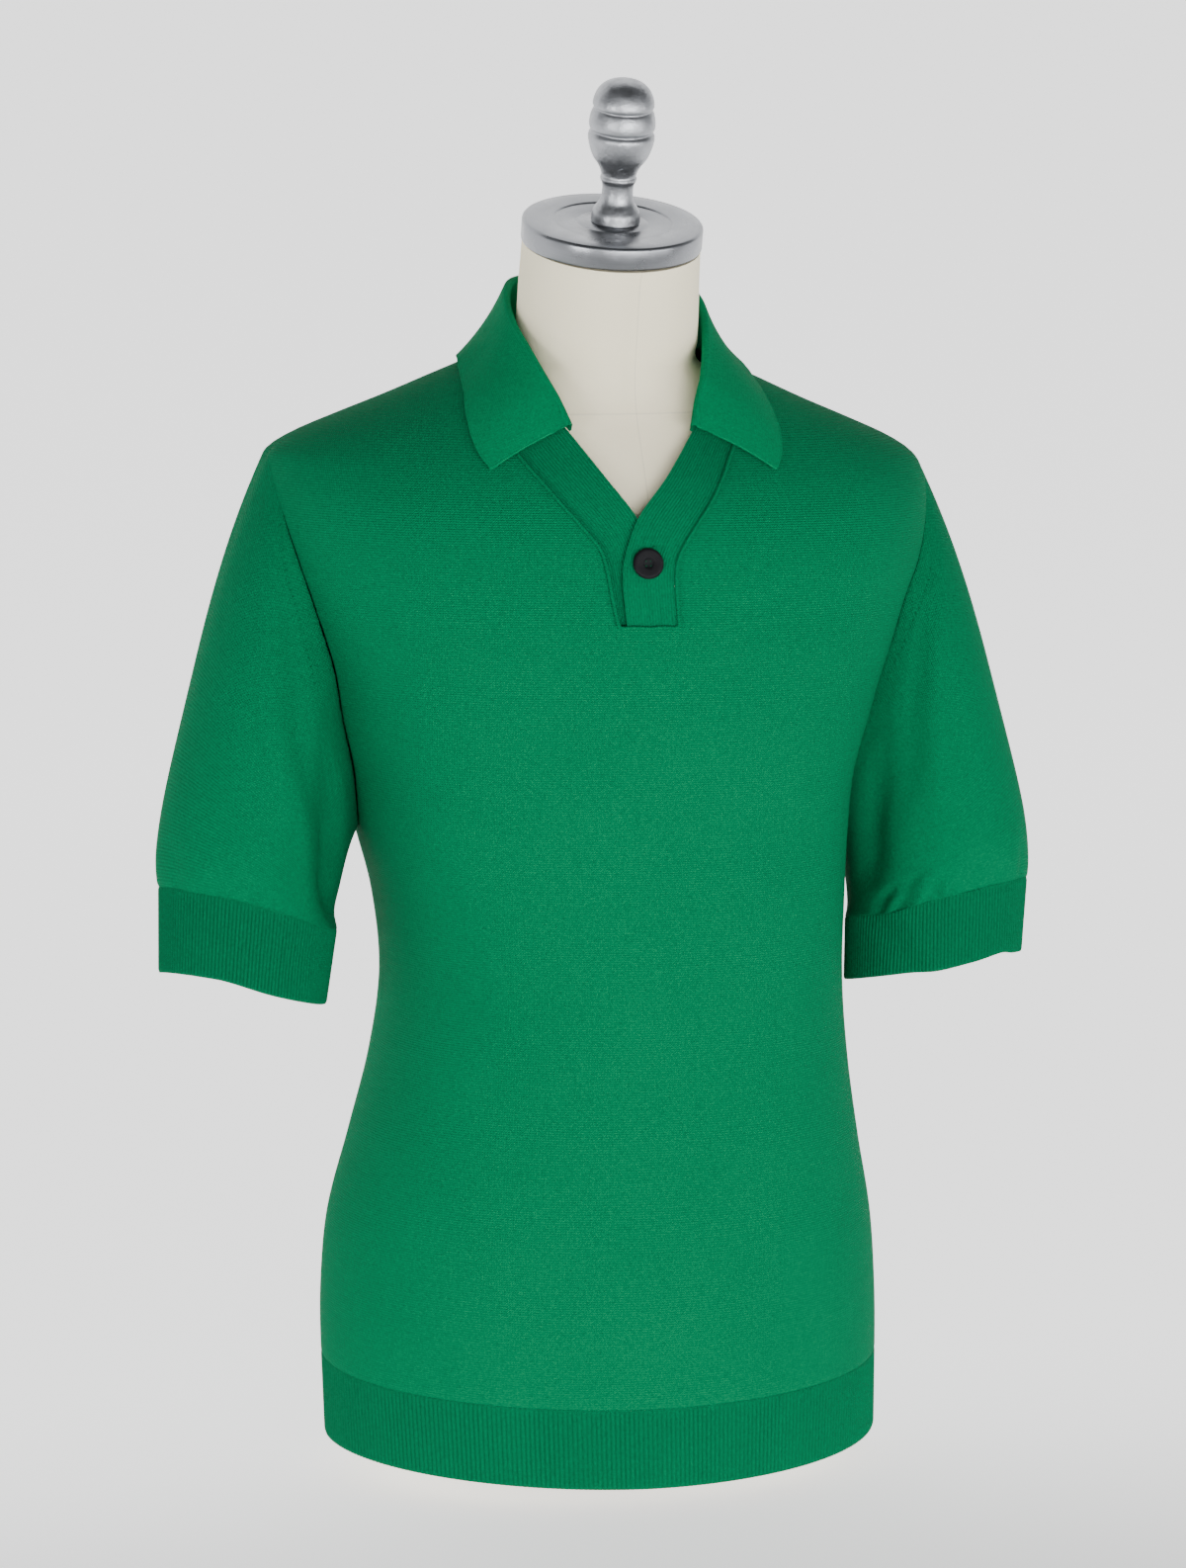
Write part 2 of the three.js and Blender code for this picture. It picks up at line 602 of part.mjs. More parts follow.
function underBand() {
  const { edge, seam, foot } = UNDER_BAND_SINK;
  return band(UNDER_SEAM, UNDER_EDGE, (share, z) => {
    const open = THREE.MathUtils.lerp(seam, edge, Math.min(share * 1.5, 1));
    return THREE.MathUtils.lerp(foot, open, smoothStep(SLOT_FOOT_Z + 30, SLOT_FOOT_Z + 75, z));
  });
}

function topBand() {
  return band(TOP_SEAM, TOP_EDGE, () => -TOP_BAND_LIFT);
}

// Centre line of the collar's cloth at one station: stand, fold and leaf. The fold turns over across its own run.
function collarLine({ seamX, seamY, seamZ, foldX, foldY, foldZ, edgeX, edgeY, edgeZ, bow }, run) {
  const seam = new THREE.Vector3(seamX, seamY, seamZ);
  const shift = FOLD_SHIFT.distance * smoothStep(FOLD_SHIFT.from, FOLD_SHIFT.to, foldZ);
  const fold = new THREE.Vector3(foldX + shift, foldY, foldZ);
  const edge = new THREE.Vector3(edgeX, edgeY, edgeZ);
  if (edgeZ < LEAF_REST_Z) {
    edge.setY(Math.min(edgeY, frontDepth(edgeX, edgeZ) - LEAF_LIFT / -frontNormal(edgeX, edgeZ).y));
  }
  const up = fold.clone().sub(seam).projectOnPlane(run).normalize();
  const out = edge.clone().sub(fold).projectOnPlane(run).projectOnPlane(up).normalize();
  const line = [seam, seam.clone().lerp(fold, 0.5), fold];
  for (const angle of [45, 90, 135, 180]) {
    const turn = THREE.MathUtils.degToRad(angle);
    line.push(fold.clone()
      .addScaledVector(out, FOLD_RADIUS * (1 - Math.cos(turn)))
      .addScaledVector(up, FOLD_RADIUS * Math.sin(turn)));
  }
  const start = line[line.length - 1];
  const down = edge.clone().sub(start);
  const lift = new THREE.Vector3().crossVectors(down, new THREE.Vector3().crossVectors(out, down)).normalize();
  if (lift.z < 0) {
    lift.negate();
  }
  for (const share of [0.25, 0.5, 0.75, 1]) {
    line.push(start.clone().lerp(edge, share).addScaledVector(lift, Math.sin(Math.PI * share) * bow));
  }
  return line.map((point) => point.toArray());
}

function collar() {
  const half = COLLAR.map((row) => row.slice());
  const mirrored = half.slice(0, -1).reverse().map((row) => (
    row.map((value, i) => (COLLAR_COLUMNS[i].endsWith('X') ? -value : value))
  ));
  const stations = [...half, ...mirrored];
  const curve = (columns) => new THREE.CatmullRomCurve3(
    stations.map((row) => new THREE.Vector3(...columns.map((column) => row[COLLAR_COLUMNS.indexOf(column)]))),
    false, 'centripetal');
  const curves = ['seam', 'fold', 'edge'].map((name) => curve([`${name}X`, `${name}Y`, `${name}Z`]));
  const middle = Array.from({ length: COLLAR_STEPS + 1 }, (_, i) => {
    const share = i / COLLAR_STEPS;
    const [bow] = alongLine(stations.map((row) => [row[row.length - 1]]), share);
    const row = [...curves.flatMap((line) => line.getPoint(share).toArray()), bow];
    return collarLine(named(COLLAR_COLUMNS, row), curves[1].getTangent(share)).map(hang);
  });
  const normals = gridNormals(middle, false, false);
  const face = (distance) => middle.map((row, i) => row.map((point, j) => moved(point, normals[i][j], distance)));
  return wall(face(COLLAR_CLOTH / 2), face(-COLLAR_CLOTH / 2), false);
}

// Turned horn button with a raised rim and four holes.
function button() {
  const { radius, thickness, rim, hole, spread } = BUTTON;
  const profile = [
    [0, 0], [radius - 1.2, 0], [radius, 1], [radius, thickness - 1], [radius - 0.7, thickness],
    [radius - rim, thickness - 0.1], [radius - rim - 1.6, thickness - 0.9], [0, thickness - 1.1],
  ];
  let disc = new THREE.LatheGeometry(profile.map(([r, h]) => new THREE.Vector2(r, h)), 24);
  for (const [sx, sz] of [[1, 1], [1, -1], [-1, 1], [-1, -1]]) {
    const pin = new THREE.CylinderGeometry(hole, hole, 3 * thickness, 8);
    pin.translate(sx * spread, thickness / 2, sz * spread);
    disc = cut(disc, pin);
  }
  const normal = frontNormal(BUTTON.x, BUTTON.z);
  const seat = moved([BUTTON.x, frontDepth(BUTTON.x, BUTTON.z), BUTTON.z], normal, TOP_BAND_LIFT + SEAM_GAP);
  const turn = new THREE.Quaternion().setFromUnitVectors(new THREE.Vector3(0, 1, 0), normal);
  disc.applyMatrix4(new THREE.Matrix4().makeRotationFromQuaternion(turn));
  disc.translate(...hang(seat));
  return disc;
}

function ringOf(pointAt, segments) {
  return Array.from({ length: segments }, (_, j) => pointAt(2 * Math.PI * j / segments));
}

// Torso and neck of the form in one, ending in the slanted seat of the cap.
function formTorso() {
  const rings = FORM.map((row) => {
    const section = named(FORM_COLUMNS, row);
    return ringOf((turn) => {
      const face = turn <= Math.PI ? 'front' : 'back';
      const point = sectionPoint(section, section.z, turn <= Math.PI ? turn : 2 * Math.PI - turn, face);
      return section.z < 60 ? point : hang(point);
    }, FORM_SEGMENTS);
  });
  const slant = Math.tan(THREE.MathUtils.degToRad(NECK_TOP.tilt));
  rings.push(ringOf((turn) => {
    const x = -NECK_TOP.radius * Math.cos(turn);
    const y = -NECK_TOP.radius * Math.sin(turn);
    return [NECK_TOP.x + x, NECK_TOP.y + y, NECK_TOP.z + y * slant];
  }, FORM_SEGMENTS));
  return stack(rings);
}

function formFoot() {
  const { half, depth, height, edge } = FOOT;
  const profile = [[0, 0], [half - edge, 0], [half, edge], [half, height - edge], [half - edge, height], [0, height]];
  const foot = new THREE.LatheGeometry(profile.map(([r, h]) => new THREE.Vector2(r, h)), 32);
  foot.rotateX(Math.PI / 2);
  foot.scale(1, depth / half, 1);
  return foot;
}

// Lathe turned to stand on the slanted neck, its foot at a height over the seat.
function onNeck(profile, segments, height) {
  const shape = new THREE.LatheGeometry(profile.map(([h, r]) => new THREE.Vector2(r, h)), segments);
  shape.translate(0, height, 0);
  shape.rotateX(Math.PI / 2 + THREE.MathUtils.degToRad(NECK_TOP.tilt));
  shape.translate(NECK_TOP.x, NECK_TOP.y, NECK_TOP.z);
  return shape;
}

function neckCap() {
  const { radius, height, round, stepRadius, stepDepth } = CAP;
  return onNeck([
    [0, 0], [0, radius - round], [round, radius], [height - round, radius], [height, radius - round],
    [height, stepRadius + 1], [height - stepDepth, stepRadius], [height - stepDepth, 0],
  ], CAP_SEGMENTS, SEAM_GAP);
}

function neckKnob() {
  const knob = onNeck(KNOB, KNOB_SEGMENTS, 2 * SEAM_GAP + CAP.height - CAP.stepDepth);
  knob.translate(KNOB_SHIFT, 0, 0);
  return knob;
}

function finish(color, roughness, metalness = 0) {
  return new THREE.MeshStandardMaterial({ color, roughness, metalness });
}

const group = new THREE.Group();

function addPart(name, geometry, material) {
  const mesh = new THREE.Mesh(geometry, material);
  mesh.name = name;
  group.add(mesh);
}

addPart('form_foot', formFoot(), finish(FOOT_WOOD, 0.6));
addPart('form_torso', formTorso(), finish(LINEN, 0.9));
addPart('neck_cap', neckCap(), finish(STEEL, 0.35, 1));
addPart('neck_knob', neckKnob(), finish(STEEL, 0.25, 1));
addPart('front', frontPanel(), finish(KNIT_GREEN, 0.85));
addPart('back', backPanel(), finish(KNIT_GREEN, 0.85));
addPart('sleeve_right', sleeve(-1), finish(KNIT_GREEN, 0.85));
addPart('sleeve_left', sleeve(1), finish(KNIT_GREEN, 0.85));
addPart('cuff_right', cuff(-1), finish(RIB_GREEN, 0.85));
addPart('cuff_left', cuff(1), finish(RIB_GREEN, 0.85));
addPart('hem_rib', hemRib(), finish(RIB_GREEN, 0.85));
addPart('collar', collar(), finish(RIB_GREEN, 0.85));
addPart('band_under', underBand(), finish(RIB_GREEN, 0.85));
addPart('band_top', topBand(), finish(RIB_GREEN, 0.85));
addPart('button', button(), finish(HORN, 0.4));

export default group;
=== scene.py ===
"""Knitted polo shirt on a limbless dress form: finished pieces, studio and camera.

The frame is in metres, +Z up. The shirt's front faces -Y and the wearer's left is +X.
Sizes below are in millimetres, as a maker would note them, and become metres when a mesh is laid.
"""

import logging
import math
from dataclasses import dataclass
from enum import Enum
from functools import partial
from typing import Callable, Iterable, Sequence

import bmesh
import bpy
import numpy as np
from mathutils import Matrix, Vector


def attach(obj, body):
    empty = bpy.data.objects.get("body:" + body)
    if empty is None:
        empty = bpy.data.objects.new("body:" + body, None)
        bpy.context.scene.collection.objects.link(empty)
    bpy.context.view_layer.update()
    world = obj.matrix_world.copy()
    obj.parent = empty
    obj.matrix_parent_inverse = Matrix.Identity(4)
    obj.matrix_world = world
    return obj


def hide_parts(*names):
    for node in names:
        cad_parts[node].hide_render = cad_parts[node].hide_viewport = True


MM = 0.001
BODY = "root"
CLOTH_MAP = "cloth"
RIB_ROUNDNESS = 0.8

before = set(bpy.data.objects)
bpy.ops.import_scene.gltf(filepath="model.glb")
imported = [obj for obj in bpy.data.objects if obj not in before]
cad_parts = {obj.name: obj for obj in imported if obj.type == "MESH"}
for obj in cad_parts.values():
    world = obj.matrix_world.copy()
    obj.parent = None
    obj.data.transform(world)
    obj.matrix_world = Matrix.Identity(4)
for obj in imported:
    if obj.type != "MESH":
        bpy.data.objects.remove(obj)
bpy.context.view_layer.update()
log = logging.getLogger("polo")


class Face(Enum):
    """Which side of the body a panel covers."""

    FRONT = "front"
    BACK = "back"


class Side(Enum):
    """The wearer's side, as the sign of its X."""

    RIGHT = -1
    LEFT = 1


# Curves and sections


def smooth_step(start: float, stop: float, value: np.ndarray) -> np.ndarray:
    """A soft step from 0 at start to 1 at stop."""
    t = np.clip((np.asarray(value, float) - start) / (stop - start), 0, 1)
    return t * t * (3 - 2 * t)


def bell(distance: np.ndarray, width: float) -> np.ndarray:
    """A soft bump of height 1 with the given half width."""
    return np.exp(-((distance / width) ** 2))


def read_rows(rows: np.ndarray, z: np.ndarray) -> np.ndarray:
    """Reads a table of sections along smooth curves through its rows.

    Args:
        rows: one row for each height, the height first.
        z: the heights wanted.

    Returns:
        One row for each wanted height.
    """
    z = np.atleast_1d(np.asarray(z, float))
    low = np.searchsorted(rows[1:-1, 0], z, side="left")
    before, after = np.maximum(low - 1, 0), np.minimum(low + 2, len(rows) - 1)
    start, stop = rows[low], rows[low + 1]
    span = (stop[:, :1] - start[:, :1])
    t = np.clip((z[:, None] - start[:, :1]) / span, 0, 1)
    slope_start = (stop - rows[before]) / (stop[:, :1] - rows[before][:, :1]) * span
    slope_stop = (rows[after] - start) / (rows[after][:, :1] - start[:, :1]) * span
    return (
        (2 * t**3 - 3 * t**2 + 1) * start
        + (t**3 - 2 * t**2 + t) * slope_start
        + (3 * t**2 - 2 * t**3) * stop
        + (t**3 - t**2) * slope_stop
    )


def smooth_line(points: Sequence[Sequence[float]], shares: np.ndarray) -> np.ndarray:
    """Points along a centripetal curve through the given ones.

    Args:
        points: the points that the curve runs through.
        shares: places along the curve, from 0 to 1, with equal steps from point to point.

    Returns:
        One point for each place.
    """
    given = np.asarray(points, float)
    full = np.vstack([2 * given[0] - given[1], given, 2 * given[-1] - given[-2]])
    place = np.asarray(shares, float) * (len(given) - 1)
    first = np.minimum(place.astype(int), len(given) - 2)
    w = (place - first)[:, None]
    p0, p1, p2, p3 = (full[first + k] for k in range(4))
    d0, d1, d2 = (
        np.maximum(np.linalg.norm(b - a, axis=1, keepdims=True) ** 0.5, 1e-4)
        for a, b in ((p0, p1), (p1, p2), (p2, p3))
    )
    m1 = ((p1 - p0) / d0 - (p2 - p0) / (d0 + d1) + (p2 - p1) / d1) * d1
    m2 = ((p2 - p1) / d1 - (p3 - p1) / (d1 + d2) + (p3 - p2) / d2) * d1
    return p1 + m1 * w + (3 * (p2 - p1) - 2 * m1 - m2) * w**2 + (2 * (p1 - p2) + m1 + m2) * w**3


def reach_along(points: np.ndarray) -> np.ndarray:
    """Distance along a line from its first point to each of its points."""
    return np.concatenate([[0], np.cumsum(np.linalg.norm(np.diff(points, axis=0), axis=1))])


def even_line(points: np.ndarray, count: int) -> np.ndarray:
    """Resamples a line of points to a count of points at even distances."""
    reach = reach_along(points)
    wanted = np.linspace(0, reach[-1], count)
    return np.stack([np.interp(wanted, reach, points[:, k]) for k in range(points.shape[1])], axis=1)


def lerp(a: np.ndarray, b: np.ndarray, share: np.ndarray) -> np.ndarray:
    """The point between two others at a share of the way."""
    return a + (b - a) * share


def grid_normals(points: np.ndarray, outside: Callable[[np.ndarray], np.ndarray]) -> np.ndarray:
    """Unit normals of a grid of points.

    Args:
        points: rows by columns by 3.
        outside: gives, for the grid, a rough direction that points out of it.

    Returns:
        The normals, turned to the outside.
    """
    across = np.gradient(points, axis=1)
    along = np.gradient(points, axis=0)
    normals = np.cross(across, along)
    size = np.linalg.norm(normals, axis=2, keepdims=True)
    normals = normals / np.maximum(size, 1e-9)
    turned = np.sign(np.sum(normals * outside(points), axis=2).sum())
    return normals * (turned if turned else 1)


def from_axis(points: np.ndarray) -> np.ndarray:
    """Directions away from the upright axis."""
    return points * np.array([1.0, 1.0, 0.0])


def unit(vectors: np.ndarray) -> np.ndarray:
    """Vectors of length 1."""
    return vectors / np.linalg.norm(vectors, axis=-1, keepdims=True)


def folded_turn(turn: np.ndarray) -> np.ndarray:
    """A whole turn counted up over the front, from 0 to pi, and back down again."""
    return np.where(turn <= np.pi, turn, 2 * np.pi - turn)


def cloth_places(across: np.ndarray, along: np.ndarray) -> np.ndarray:
    """Places on the flat cloth, from a distance for each column and one for each row."""
    return np.stack(np.broadcast_arrays(across[None, :], along[:, None]), axis=-1)


@dataclass(frozen=True)
class BodyForm:
    """The surface of the worn shirt, as horizontal sections of its outer face.

    Columns of the rows: z, middle, half, ridge, front, back, square.
    """

    rows: tuple = (
        (0, 2, 187, 0, -136, 134, 1.84),
        (76, 0.5, 188, 0, -138, 135, 1.95),
        (120, 0, 187.5, 0, -137, 133, 2),
        (171, 0.5, 183, 0, -135, 128, 2.05),
        (225, 3, 170.5, 0, -132, 122, 2.15),
        (279, 6, 159, 0, -130, 116, 2.25),
        (332, 7.5, 153, 0, -130, 113, 2.3),
        (385, 5.5, 155.5, 1, -131, 115, 2.4),
        (430, 1, 162, 3, -132, 121, 2.45),
        (470, -1, 168, 5, -135, 126, 2.5),
        (504, -1, 178, 7, -137, 130, 2.5),
        (536, 0, 187, 8, -137, 132, 2.5),
        (558, 0, 195, 9, -136, 133, 2.5),
        (585, 0, 205, 11, -133, 134, 2.45),
        (605, 1, 213, 13, -130, 133, 2.4),
        (626, 1, 219, 15, -125, 132, 2.35),
        (645, 1, 221.5, 17, -118, 129, 2.3),
        (662, 1, 221, 19, -109, 124, 2.2),
        (675, 0, 216, 20, -100, 118, 2.1),
        (686, 0, 199, 19, -92, 112, 2.05),
        (698, 0, 171, 18, -84, 105, 2),
        (710, 0, 141, 16, -75, 98, 2),
        (723, 0, 111, 13, -66, 88, 2),
        (736, 0, 82, 10, -56, 77, 2),
        (750, 0, 62, 8, -46, 66, 2),
    )
    armpit_z: float = 430
    tip_z: float = 675
    side_slope: float = 0.018
    side_whole: float = 740
    side_gone: float = 790
    hem_dip: float = 0.06
    dip_whole: float = 90
    dip_gone: float = 330
    front_cut: tuple = (0.33, 0.12)
    back_cut: tuple = (0.33, 0.08)

    def at(self, z: np.ndarray) -> dict:
        """The section at each height, as one array for each named column."""
        values = read_rows(np.array(self.rows, float), z)
        return dict(zip(("z", "middle", "half", "ridge", "front", "back", "square"), values.T))

    def hang(self, points: np.ndarray) -> np.ndarray:
        """Lets points down towards the wearer's left and, low down, the front."""
        x, y, z = points[..., 0], points[..., 1], points[..., 2]
        side = self.side_slope * (1 - smooth_step(self.side_whole, self.side_gone, z))
        dip = self.hem_dip * (1 - smooth_step(self.dip_whole, self.dip_gone, z))
        return np.stack([x, y, z - x * side + y * dip], axis=-1)

    def point(self, z: np.ndarray, angle: np.ndarray, face: Face) -> np.ndarray:
        """Points of the sections.

        Args:
            z: the heights.
            angle: from the wearer's right side (0) over the face to the left (pi).
            face: front or back.

        Returns:
            The points, before they hang.
        """
        z, angle = np.broadcast_arrays(np.asarray(z, float), np.asarray(angle, float))
        rows = self.at(z.ravel())
        get = {name: value.reshape(z.shape) for name, value in rows.items()}
        power = 2 / get["square"]
        across = -np.sign(np.cos(angle)) * np.abs(np.cos(angle)) ** power
        depth = np.abs(np.sin(angle)) ** power
        x = get["middle"] + get["half"] * across
        y = get["ridge"] + (get[face.value] - get["ridge"]) * depth
        return np.stack([x, y, z], axis=-1)

    def angle_of(self, x: np.ndarray, z: np.ndarray) -> np.ndarray:
        """The angle at which a section is x to the side."""
        rows = self.at(z)
        share = np.clip((x - rows["middle"]) / rows["half"], -1, 1)
        return np.arccos(-np.sign(share) * np.abs(share) ** (rows["square"] / 2))

    def front_depth(self, x: np.ndarray, z: np.ndarray) -> np.ndarray:
        """Depth of the front at places seen from the front."""
        x, z = np.broadcast_arrays(np.asarray(x, float), np.asarray(z, float))
        rows = {k: v.reshape(z.shape) for k, v in self.at(z.ravel()).items()}
        share = np.minimum(np.abs(x - rows["middle"]) / rows["half"], 1)
        depth = (1 - share ** rows["square"]) ** (1 / rows["square"])
        return rows["ridge"] + (rows["front"] - rows["ridge"]) * depth

    def front_normal(self, x: np.ndarray, z: np.ndarray) -> np.ndarray:
        """Outward normals of the front at places seen from the front."""
        step = 0.5
        dx = (self.front_depth(x + step, z) - self.front_depth(x - step, z)) / (2 * step)
        dz = (self.front_depth(x, z + step) - self.front_depth(x, z - step)) / (2 * step)
        return unit(np.stack([dx, -np.ones_like(dx), dz], axis=-1))

    def on_front(self, x: np.ndarray, z: np.ndarray, lift: np.ndarray) -> np.ndarray:
        """Points lifted off the front, hung."""
        x, z, lift = np.broadcast_arrays(x, z, lift)
        points = np.stack([x, self.front_depth(x, z), z], axis=-1)
        return self.hang(points + self.front_normal(x, z) * lift[..., None])

    def armhole_height(self, turn: np.ndarray) -> np.ndarray:
        """Height of the armhole, from the shoulder tip (turn 0) to the armpit (pi)."""
        middle = (self.tip_z + self.armpit_z) / 2
        return middle + (self.tip_z - middle) * np.cos(turn)

    def armhole_turn(self, z: np.ndarray) -> np.ndarray:
        """The armhole's turn at a height."""
        middle = (self.tip_z + self.armpit_z) / 2
        return np.arccos(np.clip((z - middle) / (self.tip_z - middle), -1, 1))

    def armhole_angle(self, turn: np.ndarray, face: Face) -> np.ndarray:
        """How far round a section the armhole is cut into a panel."""
        mid, top = self.front_cut if face is Face.FRONT else self.back_cut
        share = np.maximum(np.sin(turn), 0) * (mid + top * np.cos(turn))
        square = self.at(self.armhole_height(turn))["square"]
        return np.arcsin(np.clip(share, 0, 1) ** (square / 2))

    def armhole_edge(self, side: Side, turn: np.ndarray, shift: float | np.ndarray = 0.0) -> np.ndarray:
        """Points of the armhole.

        Args:
            side: the wearer's side.
            turn: from the shoulder tip (0) over the front to the armpit (pi) and up the back.
            shift: how far the points are moved outwards.

        Returns:
            The points, hung.
        """
        folded = folded_turn(turn)
        z = self.armhole_height(folded)
        edge = np.zeros(turn.shape + (3,))
        for face, chosen in ((Face.FRONT, turn <= np.pi), (Face.BACK, turn > np.pi)):
            edge[chosen] = self.point(z[chosen], self.armhole_angle(folded[chosen], face), face)
        middle = self.at(z.ravel())["middle"].reshape(z.shape)
        x = side.value * (middle * side.value + np.abs(edge[..., 0] - middle) + shift)
        return self.hang(np.stack([x, edge[..., 1], z], axis=-1))


FORM = BodyForm()


# Meshes


def lay_grid(points: np.ndarray, cloth: np.ndarray, weld: float = 0.0) -> bmesh.types.BMesh:
    """Lays a grid over given points.

    Args:
        points: rows by columns by 3, in millimetres.
        cloth: rows by columns by 2, the place on the flat cloth in millimetres.
        weld: distance in millimetres within which points become one.

    Returns:
        The bmesh, with its place on the cloth as a UV map in centimetres.
    """
    rows, columns = points.shape[0] - 1, points.shape[1] - 1
    bm = bmesh.new()
    bmesh.ops.create_grid(bm, x_segments=columns, y_segments=rows, size=1.0)
    layer = bm.loops.layers.uv.new(CLOTH_MAP)
    cells = []
    for vert in bm.verts:
        j = round((vert.co.x + 1) / 2 * columns)
        i = round((vert.co.y + 1) / 2 * rows)
        cells.append((i, j))
    bm.verts.index_update()
    for face in bm.faces:
        for loop in face.loops:
            loop[layer].uv = cloth[cells[loop.vert.index]] * 0.1
    for vert, cell in zip(bm.verts, cells):
        vert.co = Vector(points[cell] * MM)
    if weld:
        bmesh.ops.remove_doubles(bm, verts=bm.verts[:], dist=weld * MM)
    return bm


def turn_outwards(bm: bmesh.types.BMesh, outside: Callable[[Vector], Vector]) -> None:
    """Turns an open sheet's faces to the outside, judged by the whole sheet."""
    bm.normal_update()
    total = sum(face.normal.dot(outside(face.calc_center_median())) * face.calc_area() for face in bm.faces)
    if total < 0:
        bmesh.ops.reverse_faces(bm, faces=bm.faces[:])


def thicken(bm: bmesh.types.BMesh, thickness: float) -> None:
    """Gives an open sheet its wall, inwards, in millimetres."""
    bm.normal_update()
    bmesh.ops.solidify(bm, geom=bm.faces[:], thickness=thickness * MM)


def close_shell(bm: bmesh.types.BMesh) -> None:
    """Fills a shell's open ends and turns its faces outwards."""
    bmesh.ops.holes_fill(bm, edges=[edge for edge in bm.edges if edge.is_boundary])
    bmesh.ops.recalc_face_normals(bm, faces=bm.faces[:])


def to_object(bm: bmesh.types.BMesh, name: str, crease: float = 50.0) -> bpy.types.Object:
    """Makes an object of a bmesh, smooth up to the given angle in degrees."""
    mesh = bpy.data.meshes.new(name)
    bm.to_mesh(mesh)
    bm.free()
    mesh.polygons.foreach_set("use_smooth", [True] * len(mesh.polygons))
    mesh.set_sharp_from_angle(angle=math.radians(crease))
    piece = bpy.data.objects.new(name, mesh)
    bpy.context.scene.collection.objects.link(piece)
    return piece


def join_meshes(parts: Iterable[bmesh.types.BMesh], weld: float = 0.0) -> bmesh.types.BMesh:
    """Joins several bmeshes into the first one, and welds points closer than weld millimetres."""
    parts = list(parts)
    whole = parts[0]
    for part in parts[1:]:
        mesh = bpy.data.meshes.new("joining")
        part.to_mesh(mesh)
        part.free()
        whole.from_mesh(mesh)
        bpy.data.meshes.remove(mesh)
    if weld:
        bmesh.ops.remove_doubles(whole, verts=whole.verts[:], dist=weld * MM)
    return whole


def tube(path: np.ndarray, radius: float, sides: int = 10, taper: float = 0.0) -> bmesh.types.BMesh:
    """A round cord along a path, in millimetres, with rounded ends.

    Args:
        path: the points of its middle.
        radius: its radius.
        sides: points round it.
        taper: length over which each end thins out, at least the radius.

    Returns:
        The bmesh.
    """
    tangents = np.gradient(path, axis=0)
    tangents /= np.maximum(np.linalg.norm(tangents, axis=1, keepdims=True), 1e-9)
    side = np.cross(tangents[0], [0.0, 0.0, 1.0])
    if np.linalg.norm(side) < 0.1:
        side = np.cross(tangents[0], [1.0, 0.0, 0.0])
    sides_at = []
    for tangent in tangents:
        side = side - tangent * np.dot(side, tangent)
        side = side / np.linalg.norm(side)
        sides_at.append(side)
    across = np.array(sides_at)
    up = np.cross(tangents, across)
    reach = reach_along(path)
    ends = np.minimum(reach, reach[-1] - reach)
    radii = radius * np.sqrt(1 - (1 - np.clip(ends / max(radius, taper), 0.03, 1)) ** 2)
    turns = np.linspace(0, 2 * np.pi, sides + 1)
    ring = across[:, None] * np.cos(turns)[None, :, None] + up[:, None] * np.sin(turns)[None, :, None]
    points = path[:, None] + ring * radii[:, None, None]
    bm = lay_grid(points, cloth_places(turns * radius, reach), weld=1e-3)
    close_shell(bm)
    return bm


def lathe(profile: Sequence[Sequence[float]], segments: int) -> bmesh.types.BMesh:
    """Turns a profile of (radius, height) round +Z, in millimetres, with a UV map of turn and reach."""
    bm = bmesh.new()
    verts = [bm.verts.new((radius * MM, 0, height * MM)) for radius, height in profile]
    edges = [bm.edges.new(pair) for pair in zip(verts, verts[1:])]
    bmesh.ops.spin(bm, geom=verts + edges, cent=(0, 0, 0), axis=(0, 0, 1), angle=2 * math.pi,
                   steps=segments, use_merge=True)
    bmesh.ops.remove_doubles(bm, verts=bm.verts[:], dist=1e-6)
    bmesh.ops.recalc_face_normals(bm, faces=bm.faces[:])
    layer = bm.loops.layers.uv.new(CLOTH_MAP)
    for face in bm.faces:
        middle = face.calc_center_median()
        home = math.atan2(middle.y, middle.x)
        for loop in face.loops:
            x, y, z = loop.vert.co
            turn = math.atan2(y, x) if math.hypot(x, y) > 1e-7 else home
            if turn - home > math.pi:
                turn -= 2 * math.pi
            if home - turn > math.pi:
                turn += 2 * math.pi
            loop[layer].uv = (turn, (math.hypot(x, y) + z) / MM * 0.1)
    return bm


# Finishes


def linear(code: str) -> tuple:
    """The linear colour of an sRGB hex code."""
    values = [int(code[k : k + 2], 16) / 255 for k in (0, 2, 4)]
    return (*[v / 12.92 if v <= 0.04045 else ((v + 0.055) / 1.055) ** 2.4 for v in values], 1.0)


Tree = bpy.types.NodeTree
Socket = bpy.types.NodeSocket
Level = float | Socket


def add_node(tree: Tree, kind: str, inputs: dict | None = None, **settings) -> bpy.types.Node:
    """Adds a node.

    Args:
        tree: the material's node tree.
        kind: the node's type.
        inputs: for each socket, by name or number, a value or the socket that feeds it.
        settings: the node's own properties.

    Returns:
        The node.
    """
    node = tree.nodes.new(kind)
    for key, value in settings.items():
        setattr(node, key, value)
    for key, value in (inputs or {}).items():
        if isinstance(value, Socket):
            tree.links.new(value, node.inputs[key])
        else:
            node.inputs[key].default_value = value
    return node


def calc(tree: Tree, operation: str, *values: Level) -> Socket:
    """The result of a sum on one to three levels."""
    return add_node(tree, "ShaderNodeMath", dict(enumerate(values)), operation=operation).outputs[0]


def noise(tree: Tree, place: Socket, scale: float, **inputs) -> Socket:
    """The level of a noise pattern, with that many patches to the metre of its place."""
    return add_node(tree, "ShaderNodeTexNoise", {"Vector": place, "Scale": scale, **inputs}).outputs["Fac"]


